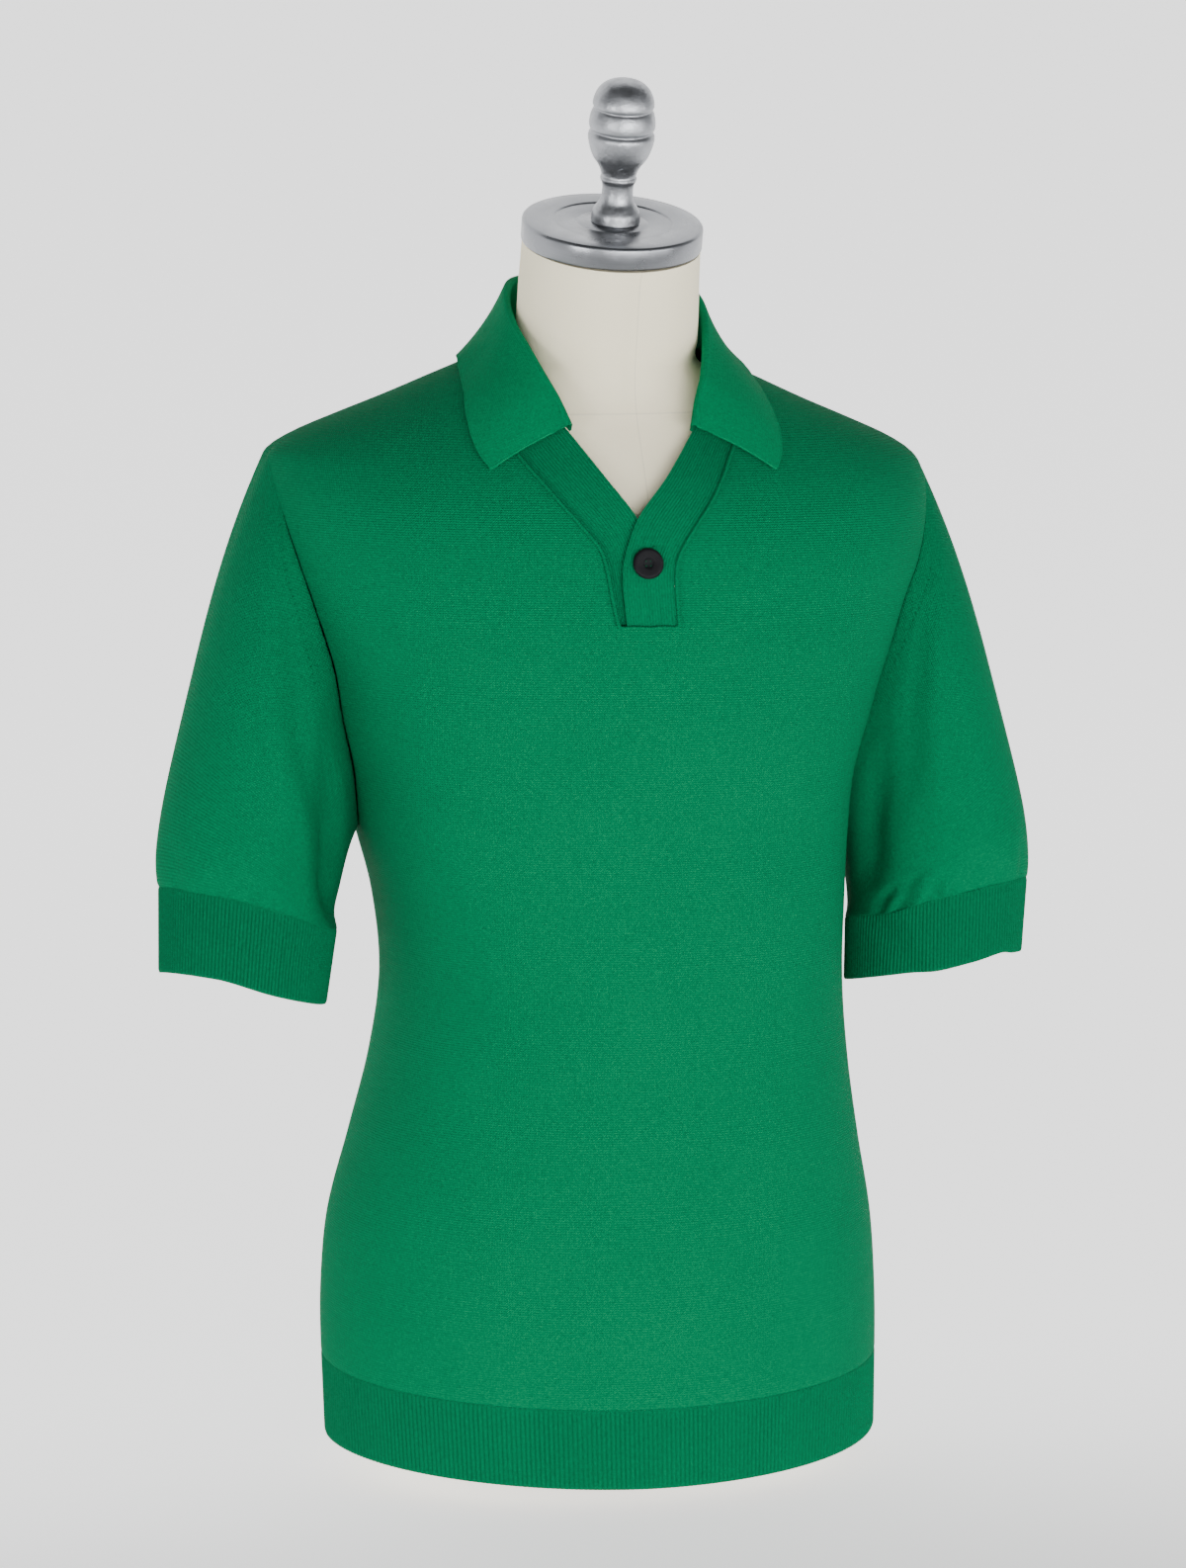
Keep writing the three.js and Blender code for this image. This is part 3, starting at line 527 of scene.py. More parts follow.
def remap(tree: Tree, value: Level, start: tuple, stop: tuple, **settings) -> Socket:
    """A level moved from one range to another."""
    ends = {"From Min": start[0], "From Max": start[1], "To Min": stop[0], "To Max": stop[1]}
    inputs = {"Value": value, **ends}
    return add_node(tree, "ShaderNodeMapRange", inputs, **settings).outputs[0]


def bump(tree: Tree, height: Level, depth: float, **inputs) -> Socket:
    """A surface's normal, bent by a height pattern that is depth metres deep."""
    inputs = {"Height": height, "Strength": 1.0, "Distance": depth, **inputs}
    return add_node(tree, "ShaderNodeBump", inputs).outputs[0]


def shade(tree: Tree, colour: str, level: Level) -> Socket:
    """An sRGB colour made darker or lighter by a level."""
    inputs = {0: linear(colour)[:3], "Scale": level}
    return add_node(tree, "ShaderNodeVectorMath", inputs, operation="SCALE").outputs[0]


def blend(tree: Tree, level: Level, dark: str, light: str) -> Socket:
    """A colour between two sRGB ones."""
    inputs = {"Factor": level, "A": linear(dark), "B": linear(light)}
    return add_node(tree, "ShaderNodeMix", inputs, data_type="RGBA").outputs["Result"]


def parts_of(tree: Tree, vector: Socket) -> Sequence[Socket]:
    """The three parts of a place, which are also named X, Y and Z."""
    return add_node(tree, "ShaderNodeSeparateXYZ", {0: vector}).outputs


class Finish:
    """A procedural material on a piece's own cloth map and its place in the object."""

    name: str

    def draw(self, tree: Tree, cloth: Socket, place: Socket) -> dict:
        """The inputs of the shader, from the place on the cloth and in the object."""
        raise NotImplementedError

    def build(self) -> bpy.types.Material:
        """Builds the material."""
        material = bpy.data.materials.new(self.name)
        material.use_nodes = True
        tree = material.node_tree
        tree.nodes.clear()
        cloth = add_node(tree, "ShaderNodeUVMap", uv_map=CLOTH_MAP).outputs["UV"]
        place = add_node(tree, "ShaderNodeTexCoord").outputs["Object"]
        shader = add_node(tree, "ShaderNodeBsdfPrincipled", self.draw(tree, cloth, place))
        add_node(tree, "ShaderNodeOutputMaterial", {"Surface": shader.outputs[0]})
        return material


@dataclass(frozen=True)
class KnitFinish(Finish):
    """Fine combed-cotton knit: soft, matt, with tiny stitches that break up the light.

    The real stitches are about 1.1 mm by 0.8 mm. They are drawn coarser, so that the render shows them.
    """

    name: str
    colour: str
    wale: float = 1.7
    course: float = 1.5
    depth: float = 0.0003
    slant: float = 0.8
    mottle: float = 0.2
    roughness: float = 0.82
    sheen: float = 0.01
    gloss: float = 0.03

    def draw(self, tree: Tree, cloth: Socket, place: Socket) -> dict:
        """Rows of slanted stitches under loose fibres, in unevenly dyed yarn."""
        at = parts_of(tree, cloth)
        wale = calc(tree, "FRACT", calc(tree, "MULTIPLY", at["X"], 10 / self.wale))
        leg = calc(tree, "ABSOLUTE", calc(tree, "SUBTRACT", wale, 0.5))
        along = calc(tree, "MULTIPLY_ADD", at["Y"], 10 / self.course, calc(tree, "MULTIPLY", leg, self.slant))
        course = calc(tree, "SINE", calc(tree, "MULTIPLY", along, 2 * math.pi))
        stitch = calc(tree, "MULTIPLY_ADD", course, 0.5, calc(tree, "MULTIPLY", leg, -1.1))
        # Loose fibres over the stitches, about a millimetre across.
        fuzz = noise(tree, place, 900.0, Detail=3.0, Roughness=0.7)
        height = calc(tree, "MULTIPLY_ADD", fuzz, 1.1, stitch)
        # Uneven take-up of the dye: fine specks in the yarn and slow clouds over a panel.
        specks = noise(tree, place, 640.0, Detail=3.0, Roughness=0.7)
        clouds = noise(tree, place, 14.0, Detail=2.0)
        dye = calc(tree, "MULTIPLY_ADD", clouds, 0.12, specks)
        level = remap(tree, dye, (0.3, 0.85), (1 - self.mottle * 1.6, 1 + self.mottle))
        return {"Base Color": shade(tree, self.colour, level), "Roughness": self.roughness,
                "Normal": bump(tree, height, self.depth), "Specular IOR Level": self.gloss,
                "Sheen Weight": self.sheen, "Sheen Roughness": 0.45, "Sheen Tint": linear("5fc79a")}


@dataclass(frozen=True)
class LinenFinish(Finish):
    """Cream linen drawn tight over the form: plain weave with thicker threads here and there."""

    name: str = "cream_linen"
    colour: str = "fdf3d4"
    thread: float = 0.9
    front_seam: float = 7.0
    base_seam: float = 704.0
    seam_width: float = 0.8

    def draw(self, tree: Tree, cloth: Socket, place: Socket) -> dict:
        """Crossed threads, faint stains and the cover's two seams."""
        threads = parts_of(tree, cloth)
        waves = [calc(tree, "SINE", calc(tree, "MULTIPLY", threads[axis], 20 * math.pi / self.thread))
                 for axis in ("X", "Y")]
        slubs = noise(tree, place, 300.0, Detail=3.0)
        height = calc(tree, "MULTIPLY_ADD", calc(tree, "MULTIPLY", *waves), 0.3, slubs)
        level = remap(tree, noise(tree, place, 9.0), (0.3, 0.7), (0.965, 1.015))
        # The seams run down the middle of the front and round the foot of the neck.
        at = parts_of(tree, place)
        for axis, line in (("X", self.front_seam), ("Z", self.base_seam)):
            gap = calc(tree, "ABSOLUTE", calc(tree, "SUBTRACT", at[axis], line * MM))
            seam = remap(tree, gap, (0.0, self.seam_width * MM), (0.86, 1.0), interpolation_type="SMOOTHSTEP")
            level = calc(tree, "MULTIPLY", level, seam)
        return {"Base Color": shade(tree, self.colour, level), "Roughness": 0.8,
                "Normal": bump(tree, height, 0.00012), "Specular IOR Level": 0.3}


@dataclass(frozen=True)
class TurnedMetalFinish(Finish):
    """Steel or cast metal with fine marks that run round the axis it was turned on."""

    name: str
    colour: str = "888a8e"
    roughness: float = 0.3
    marks: float = 0.00004
    mark_scale: float = 90.0
    blotches: float = 0.06
    lumps: float = 0.0
    lump_scale: float = 60.0

    def draw(self, tree: Tree, cloth: Socket, place: Socket) -> dict:
        """Turning marks over the lumps of the casting, dulled in patches."""
        # The turn is squeezed and the reach stretched, so that the marks become long rings.
        squeeze = {"Vector": cloth, "Scale": (0.35, self.mark_scale / 10, 1.0)}
        squeezed = add_node(tree, "ShaderNodeMapping", squeeze).outputs[0]
        rings = noise(tree, squeezed, 3.0, Detail=5.0, Roughness=0.6)
        wear = noise(tree, place, self.lump_scale, Detail=4.0, Roughness=0.65)
        normal = bump(tree, rings, self.marks, Normal=bump(tree, wear, self.lumps))
        dull, bright = self.roughness - self.blotches, self.roughness + self.blotches
        level = remap(tree, rings, (0.3, 0.7), (0.88, 1.05))
        return {"Base Color": shade(tree, self.colour, level), "Metallic": 1.0,
                "Roughness": remap(tree, wear, (0.3, 0.7), (dull, bright)), "Normal": normal}


@dataclass(frozen=True)
class HornFinish(Finish):
    """Near-black horn, satin, with slanted growth lines that catch the light."""

    name: str = "black_horn"
    colour: str = "08080a"
    streak: str = "1a1a1e"
    line: float = 0.75
    lean: float = 38.0

    def draw(self, tree: Tree, cloth: Socket, place: Socket) -> dict:
        """Fine raised bands across the face, a shade lighter than the ground."""
        leaning = {"Vector": place, "Rotation": (0.0, math.radians(self.lean), 0.0)}
        turned = add_node(tree, "ShaderNodeMapping", leaning).outputs[0]
        bands = {"Vector": turned, "Scale": 0.314 / (self.line * MM), "Distortion": 1.2,
                 "Detail": 2.0, "Detail Scale": 1.5}
        wave = add_node(tree, "ShaderNodeTexWave", bands, wave_type="BANDS", bands_direction="X")
        grain = wave.outputs["Fac"]
        return {"Base Color": blend(tree, grain, self.colour, self.streak), "Roughness": 0.42,
                "Normal": bump(tree, grain, 0.00012), "Specular IOR Level": 0.12}


@dataclass(frozen=True)
class OiledWoodFinish(Finish):
    """Oiled beech board: long grain with darker lines."""

    name: str = "oiled_beech"
    light: str = "8a6545"
    dark: str = "5a3d26"

    def draw(self, tree: Tree, cloth: Socket, place: Socket) -> dict:
        """Grain drawn out along the board."""
        drawn = add_node(tree, "ShaderNodeMapping", {"Vector": place, "Scale": (2.0, 30.0, 30.0)}).outputs[0]
        grain = noise(tree, drawn, 4.0, Detail=6.0)
        return {"Base Color": blend(tree, grain, self.dark, self.light), "Roughness": 0.45,
                "Normal": bump(tree, grain, 0.0002, Strength=0.6)}


@dataclass(frozen=True)
class PaperFinish(Finish):
    """Matt white paper with a painted glow: behind the object only it shines like a lamp, so that the front
    light models the folds.
    """

    name: str = "studio_paper"
    colour: str = "cccccc"
    glow: float = 1.55
    glow_start: float = -1.1
    glow_whole: float = 0.3

    def draw(self, tree: Tree, cloth: Socket, place: Socket) -> dict:
        """A glow that fades in from the front to the back."""
        depths = (self.glow_start, self.glow_whole)
        depth = parts_of(tree, place)["Y"]
        # Painted light: the paper's emission glows like a lamp, fading in from the front to the back.
        glow = remap(tree, depth, depths, (0.0, self.glow), interpolation_type="SMOOTHSTEP")
        return {"Base Color": linear(self.colour), "Roughness": 0.95, "Specular IOR Level": 0.1,
                "Emission Color": linear("ffffff"), "Emission Strength": glow}


class Slot(Enum):
    """Names of material slots."""

    KNIT = "knit"
    RIB = "rib"
    LINEN = "form_linen"
    CAP = "cap_steel"
    KNOB = "knob_metal"
    BUTTON = "button_horn"
    FOOT = "foot_wood"


@dataclass
class Wardrobe:
    """All finishes, built once."""

    def __post_init__(self) -> None:
        """Builds each finish."""
        self.knit = KnitFinish("green_jersey_knit", "006d45").build()
        self.rib = KnitFinish("green_rib_knit", "00623e", wale=1.5, course=1.3, depth=0.00016).build()
        self.band = KnitFinish("green_band_knit", "006c45", wale=1.3, course=1.2, depth=0.00014).build()
        self.collar = KnitFinish("green_collar_knit", "00774b", wale=1.4, course=1.3, depth=0.00018).build()
        self.linen = LinenFinish().build()
        self.steel = TurnedMetalFinish("brushed_steel").build()
        self.cast = TurnedMetalFinish(
            "polished_cast_metal", "a0a2a6", roughness=0.4, marks=0.00003, blotches=0.08, lumps=0.0005,
            lump_scale=170.0).build()
        self.horn = HornFinish().build()
        self.wood = OiledWoodFinish().build()


def dress(piece: bpy.types.Object, material: bpy.types.Material, slot: Slot, *nodes: str) -> bpy.types.Object:
    """Gives a piece its finish and body, and hides the CAD nodes that it stands for.

    Args:
        piece: the piece.
        material: its finish.
        slot: its material slot; not used.
        nodes: the CAD nodes that it replaces.

    Returns:
        The piece.
    """
    piece.data.materials.clear()
    piece.data.materials.append(material)
    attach(piece, BODY)
    if nodes:
        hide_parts(*nodes)
    log.info("%s: %d faces", piece.name, len(piece.data.polygons))
    return piece


@dataclass(frozen=True)
class Cut:
    """The flat size that a sheet was knitted to, in millimetres and square millimetres."""

    width: float
    length: float
    area: float


def cut_of(*grids: np.ndarray) -> Cut:
    """The flat size of a sheet made of one or more grids that lie beside each other, row by row."""
    area, widths, lengths = 0.0, {}, []
    for grid in grids:
        across, along = grid[:-1, 1:] - grid[:-1, :-1], grid[1:, :-1] - grid[:-1, :-1]
        area += float(np.linalg.norm(np.cross(across, along), axis=2).sum())
        rows = np.linalg.norm(np.diff(grid, axis=1), axis=2).sum(axis=1)
        for level, width in zip(np.linspace(0, 1, len(rows)).round(3), rows):
            widths[level] = widths.get(level, 0) + float(width)
        lengths.append(float(np.linalg.norm(np.diff(grid, axis=0), axis=2).sum(axis=0).max()))
    return Cut(max(widths.values()), max(lengths), area)


# Folds


@dataclass(frozen=True)
class Fold:
    """A soft ridge along a path on a sheet, or a trough where its height is below nothing.

    It fades over the fade's shares of its length at each end that isn't open, and its height strays a little.
    """

    path: tuple
    width: float
    height: float
    open_start: bool = False
    open_stop: bool = False
    fade: tuple = (-0.05, 0.4)
    stray: float = 0.18
    stray_turns: float = 5.3
    stray_start: float = 0.07
    steps: int = 60

    def relief(self, a: np.ndarray, b: np.ndarray) -> np.ndarray:
        """Height of the fold at places (a, b), fading at its ends unless they are open."""
        points = even_line(smooth_line(self.path, np.linspace(0, 1, self.steps)), self.steps)
        shape = np.broadcast(a, b).shape
        flat_a, flat_b = np.broadcast_to(a, shape).ravel(), np.broadcast_to(b, shape).ravel()
        gap = np.full(flat_a.shape, np.inf)
        share = np.zeros(flat_a.shape)
        for k, (pa, pb) in enumerate(points):
            distance = np.hypot(flat_a - pa, flat_b - pb)
            nearer = distance < gap
            gap = np.where(nearer, distance, gap)
            share = np.where(nearer, k / (len(points) - 1), share)
        fade = np.ones(flat_a.shape)
        if not self.open_start:
            fade = fade * smooth_step(*self.fade, share)
        if not self.open_stop:
            fade = fade * smooth_step(*self.fade, 1 - share)
        uneven = 1 + self.stray * np.sin(self.stray_turns * share + self.stray_start * self.path[0][0])
        return (self.height * fade * uneven * bell(gap, self.width)).reshape(shape)


def fold_height(folds: Iterable[Fold], a: np.ndarray, b: np.ndarray) -> np.ndarray:
    """Height of all folds together."""
    total = np.zeros(np.broadcast(a, b).shape)
    for fold in folds:
        total = total + fold.relief(a, b)
    return total


# Shirt


@dataclass(frozen=True)
class CuffRim:
    """A level of a cuff: its middle, half sizes and how far it rises outwards and forwards.

    The wave holds degrees round the rim and the height by which the soft edge strays there.
    """

    x: float
    y: float
    z: float
    across: float
    deep: float
    out: float
    fore: float
    wave: tuple = ((0, 0), (360, 0))

    def point(self, side: Side, turn: np.ndarray) -> np.ndarray:
        """Points of the rim, from its outer side (turn 0) over the front."""
        outwards, forwards = self.across * np.cos(turn), self.deep * np.sin(turn)
        degrees = np.clip(np.degrees(turn), 0, 360)
        stray = read_rows(np.array(self.wave, float), degrees.ravel())[:, 1].reshape(degrees.shape)
        return np.stack([
            side.value * (self.x + outwards), self.y - forwards,
            self.z + self.out * outwards + self.fore * forwards + stray], axis=-1)


CUFF_RIMS = {
    Side.RIGHT: (
        CuffRim(236.5, -10, 384, 58, 53, 0.27, 0.12, (
            (0, 0), (35, 1.2), (66, 2.6), (102, 1.2), (141, -1.6), (180, 0), (270, 0.6), (360, 0))),
        CuffRim(240.5, -10, 331.5, 54.5, 53, 0.22, 0.13, (
            (0, 0), (35, 1.8), (66, 2.6), (102, -1.4), (141, -2), (180, 0), (270, 1.2), (360, 0)))),
    Side.LEFT: (
        CuffRim(231.5, -5, 372, 62, 49, 0.17, 0.22, (
            (0, 0), (56, 0.6), (81, -1), (111, -1.5), (131, -3.8), (160, -1), (180, 0), (270, 0.8),
            (360, 0))),
        CuffRim(230.5, -2, 325.5, 60.5, 51, 0.12, 0.18, (
            (0, 0), (40, 0.4), (54, 2), (78, -1.2), (102, -2.6), (127, -1), (180, 0), (270, 1.2), (360, 0)))),
}


@dataclass
class Sleeve:
    """Sleeve from the armhole to the cuff, gathered into the cuff's seam."""

    side: Side
    cloth: float = 1.8
    columns: int = 180
    out: float = 11.3
    flank: float = 9.8
    under: float = 4
    upper: float = 2.6
    lower: float = 5
    shift: float = 0.5
    seam_lap: float = 0.4
    settle: float = 0.06
    end_dip: float = 0.8
    end_width: float = 0.006
    end_hold: float = 0.8
    end_from: float = 0.985
    gather_row: float = 0.94
    gather_reach: float = 0.07
    gathers: int = 7
    gather_depth: float = 0.7
    folds: tuple = ()
    length: float = 300
    mark_lines: tuple = ()
    mark_pitch: float = 4.6
    mark_length: float = 3.2
    mark_radius: float = 0.5
    mark_lean: tuple = (0.75, 0.65)
    mark_lift: float = 0.12

    def shares(self) -> np.ndarray:
        """Rows of the sleeve, closer together at its two seams."""
        fine = [0, 0.0025, 0.006, 0.011, 0.018, 0.026]
        return np.concatenate([fine, np.linspace(0.036, 0.975, 82), [0.984, 0.991, 0.996, 1]])

    def surface(self, share: np.ndarray, turn: np.ndarray) -> np.ndarray:
        """Outer face of the sleeve before it is bent to its seam and folded.

        Args:
            share: from the armhole (0) to the cuff (1).
            turn: from the outer side (0) over the front.

        Returns:
            The points.
        """
        side = self.side.value
        shift = self.shift * smooth_step(0.6, 1.2, folded_turn(turn))
        start = FORM.armhole_edge(self.side, turn, shift)
        stop = CUFF_RIMS[self.side][0].point(self.side, turn) - np.array([0, 0, self.seam_lap])
        power = np.where(share < 0.5, self.upper, self.lower)
        swell = 1 - np.abs(2 * share - 1) ** power
        near_cuff = bell(share - self.gather_row, self.gather_reach)
        gather = near_cuff * np.cos(self.gathers * turn) * self.gather_depth
        lift = (self.out * (1 + np.cos(turn)) + self.under * (1 - np.cos(turn))) / 2
        outwards = lift * swell + gather * np.abs(np.cos(turn))
        forwards = self.flank * np.sin(turn) * swell + gather * np.sin(turn)
        points = lerp(start, stop, share[..., None])
        return points + np.stack([side * outwards, -forwards, np.zeros_like(turn)], axis=-1)

    def normals(self, points: np.ndarray) -> np.ndarray:
        """Outward normals of a grid whose last column repeats the first."""
        middle = points[:, :-1].mean(axis=1, keepdims=True)
        normals = grid_normals(points, lambda grid: grid - middle)
        normals[:, 0] = normals[:, -1] = unit(normals[:, 0] + normals[:, -1])
        return normals

    def marks(self, points: np.ndarray, normals: np.ndarray, shares: np.ndarray) -> list:
        """Fashioning marks: short slanted stitches along lines given as (degrees, millimetres down)."""
        parts = []
        for line in self.mark_lines:
            path = smooth_line(line, np.linspace(0, 1, 200))
            rows = np.interp(path[:, 1] / self.length, shares, np.arange(len(shares)))
            columns = np.mod(path[:, 0], 360) / 360 * self.columns
            i, j = rows.astype(int), columns.astype(int)
            home, below = points[i, j], points[np.minimum(i + 1, len(shares) - 1), j]
            place = home + (below - home) * (rows - i)[:, None]
            place += (points[i, j + 1] - home) * (columns - j)[:, None]
            out = normals[i, j]
            count = int(reach_along(place)[-1] / self.mark_pitch)
            for k in np.linspace(2, len(place) - 3, count).astype(int):
                along = unit(place[k + 2] - place[k - 2])
                across = np.cross(out[k], along) * self.side.value
                lean = along * self.mark_lean[0] + across * self.mark_lean[1]
                middle = place[k] + out[k] * self.mark_lift
                ends = middle + lean[None] * np.linspace(-0.5, 0.5, 5)[:, None] * self.mark_length
                parts.append(tube(ends, self.mark_radius, sides=6))
        return parts

    def build(self, seam: "ArmholeSeam") -> tuple:
        """Builds the sleeve and measures its cut.

        Args:
            seam: the armhole's seam, towards which the sleeve bends.

        Returns:
            The piece and its cut.
        """
        shares = self.shares()
        turns = np.linspace(0, 2 * np.pi, self.columns + 1)
        share, turn = np.meshgrid(shares, turns, indexing="ij")
        points = self.surface(share, turn)
        normals = self.normals(points)
        degrees = np.degrees(turn)
        down = share * self.length
        height = sum(fold_height(self.folds, degrees + shift, down) for shift in (-360, 0, 360))
        height = height * smooth_step(0, self.settle, share)
        height = height * (1 - self.end_hold * smooth_step(self.end_from, 1, share))
        height = height - self.end_dip * bell(1 - share, self.end_width) - seam.groove(points)
        points = points + normals * height[..., None] + seam.bend(points)
        normals = self.normals(points)
        across = np.linalg.norm(np.diff(points, axis=1), axis=2).mean(axis=0)
        down = np.linalg.norm(np.diff(points, axis=0), axis=2).mean(axis=1)
        across, down = (np.concatenate([[0], np.cumsum(steps)]) for steps in (across, down))
        bm = lay_grid(points, cloth_places(across, -down), weld=0.01)
        centre = Vector(points.mean(axis=(0, 1)) * MM)
        turn_outwards(bm, lambda place: place - centre)
        thicken(bm, self.cloth)
        bm = join_meshes([bm, *self.marks(points, normals, shares)])
        return to_object(bm, f"sleeve_{self.side.name.lower()}_cloth"), cut_of(points)


@dataclass
class ArmholeSeam:
    """Line where a sleeve is linked to the body, and how both sheets bend towards it.

    Over the shoulder the cloth runs on smoothly. Further down the seam lies in a fine groove.
    """

    side: Side
    sleeve: Sleeve
    reach: float = 15
    smooth_until: float = 0.65
    creased_from: float = 1.15
    groove_depth: float = 0.55
    groove_width: float = 1.3
    steps: int = 240
    probe_shares: tuple = (0.01, 0.03)
    probe_rise: float = 3
    probe_angle: float = 0.05

    def __post_init__(self) -> None:
        """Measures how sharply the two sheets meet."""
        turn = np.linspace(0, 2 * np.pi, self.steps + 1)
        folded = folded_turn(turn)
        self.line = FORM.armhole_edge(self.side, turn)
        near, far = (self.sleeve.surface(np.full(turn.shape, share), turn) for share in self.probe_shares)
        run = np.roll(self.line[:-1], -1, axis=0) - np.roll(self.line[:-1], 1, axis=0)
        run = unit(np.concatenate([run, run[:1]]))
        down = far - near
        down = unit(down - run * np.sum(down * run, axis=1, keepdims=True))
        z = FORM.armhole_height(folded)
        body = np.zeros_like(self.line)
        for face, chosen in ((Face.FRONT, turn <= np.pi), (Face.BACK, turn > np.pi)):
            angle = FORM.armhole_angle(folded[chosen], face) + self.probe_angle
            body[chosen] = FORM.point(z[chosen] + self.probe_rise, angle, face)
        middle = FORM.at(z)["middle"]
        body[:, 0] = self.side.value * (middle * self.side.value + np.abs(body[:, 0] - middle))
        into = FORM.hang(body) - self.line
        inwards = down + unit(into - run * np.sum(into * run, axis=1, keepdims=True))
        sharp = np.linalg.norm(inwards, axis=1, keepdims=True)
        self.inwards = inwards / np.maximum(sharp, 1e-6)
        towards = np.sign(np.sum(self.inwards * (np.array([0, 0, z.mean()]) - self.line), axis=1))
        half_turn = np.arcsin(np.clip(sharp[:, 0] / 2, 0, 0.7))
        fade = 1 - smooth_step(self.smooth_until, self.creased_from, folded)
        self.depth = np.where(towards > 0, self.reach * np.tan(half_turn) / 2, 0) * fade
        self.seamed = smooth_step(self.smooth_until, self.creased_from, folded)

    def nearest(self, points: np.ndarray) -> tuple:
        """Distance to the seam and the step of its line nearest to each point."""
        flat = points.reshape(-1, 3)
        gap = np.full(len(flat), np.inf)
        step = np.zeros(len(flat), int)
        for k, place in enumerate(self.line):
            distance = np.linalg.norm(flat - place, axis=1)
            nearer = distance < gap
            gap[nearer] = distance[nearer]
            step[nearer] = k
        return gap.reshape(points.shape[:-1]), step.reshape(points.shape[:-1])

    def bend(self, points: np.ndarray) -> np.ndarray:
        """How far points are moved to round the shoulder."""
        gap, step = self.nearest(points)
        share = np.clip(1 - gap / self.reach, 0, 1) ** 2
        return self.inwards[step] * (self.depth[step] * share)[..., None]

    def groove(self, points: np.ndarray) -> np.ndarray:
        """Depth of the seam's groove at points."""
        gap, step = self.nearest(points)
        return self.groove_depth * self.seamed[step] * bell(gap, self.groove_width)


@dataclass
class NeckSlot:
    """Opening in the front, between the outer seams of its two bands, as places seen from the front."""

    under_seam: tuple = (
        (-87, 731), (-84, 706), (-74.5, 681), (-56.5, 656.5), (-36.5, 632.5), (-29, 623), (-25.5, 613),
        (-23.3, 600), (-21.5, 588), (-18.5, 574))
    top_seam: tuple = (
        (87, 731), (78, 704), (62.5, 678.5), (47.5, 654.5), (32.5, 635.5), (23, 622.5), (18.6, 613),
        (17.4, 602), (17.6, 590), (18.4, 574))
    under_edge: tuple = (
        (-75, 739), (-60, 721), (-39.5, 693.5), (-20, 665.5), (-3, 640.5), (3, 622), (4, 601), (4, 574))
    top_edge: tuple = (
        (75, 739), (60, 719), (40.5, 693), (19.5, 667), (-3.5, 641), (-11.5, 624), (-15, 613), (-16, 602),
        (-15.3, 588), (-14, 574))
    foot_z: float = 574
    gap: float = 1.1
    foot_gap: float = 0.8
    cord: float = 1.2
    cord_lift: float = 1.05
    cord_top: float = 729
    corner: float = 2.6
    foot_wave: float = 0.25

    def seam_x(self, seam: tuple, z: np.ndarray) -> np.ndarray:
        """The x of a seam line at heights, the foot's x below the foot."""
        table = np.array([(height, x) for x, height in seam][::-1], float)
        return read_rows(table, np.maximum(z, self.foot_z))[:, 1]

    def right_x(self, z: np.ndarray) -> np.ndarray:
        """Edge of the slot on the wearer's right."""
        return self.seam_x(self.under_seam, z) - self.gap

    def left_x(self, z: np.ndarray) -> np.ndarray:
        """Edge of the slot on the wearer's left."""
        return self.seam_x(self.top_seam, z) + self.gap

    def piping(self) -> bmesh.types.BMesh:
        """The rolled edge of the slot, down one side, round the foot's corners and up the other."""
        foot = self.foot_z - self.foot_gap
        z = np.linspace(self.cord_top, foot + self.corner, 90)
        right = np.stack([self.right_x(z), z], axis=1)
        left = np.stack([self.left_x(z), z], axis=1)
        corners = []
        for start, sign in ((right[-1], 1), (left[-1], -1)):
            turns = np.linspace(0, np.pi / 2, 8)[1:]
            bend = np.stack([sign * (1 - np.cos(turns)), -np.sin(turns)], axis=1)
            corners.append(start + self.corner * bend)
        bottom = np.linspace(corners[0][-1], corners[1][-1], 14)[1:-1]
        bottom[:, 1] += self.foot_wave * np.sin(np.linspace(0, 3 * np.pi, len(bottom)))
        flat = np.vstack([right, corners[0], bottom, corners[1][::-1], left[::-1]])
        path = FORM.on_front(flat[:, 0], flat[:, 1], np.full(len(flat), self.cord_lift))
        return tube(even_line(path, 420), self.cord, sides=10)


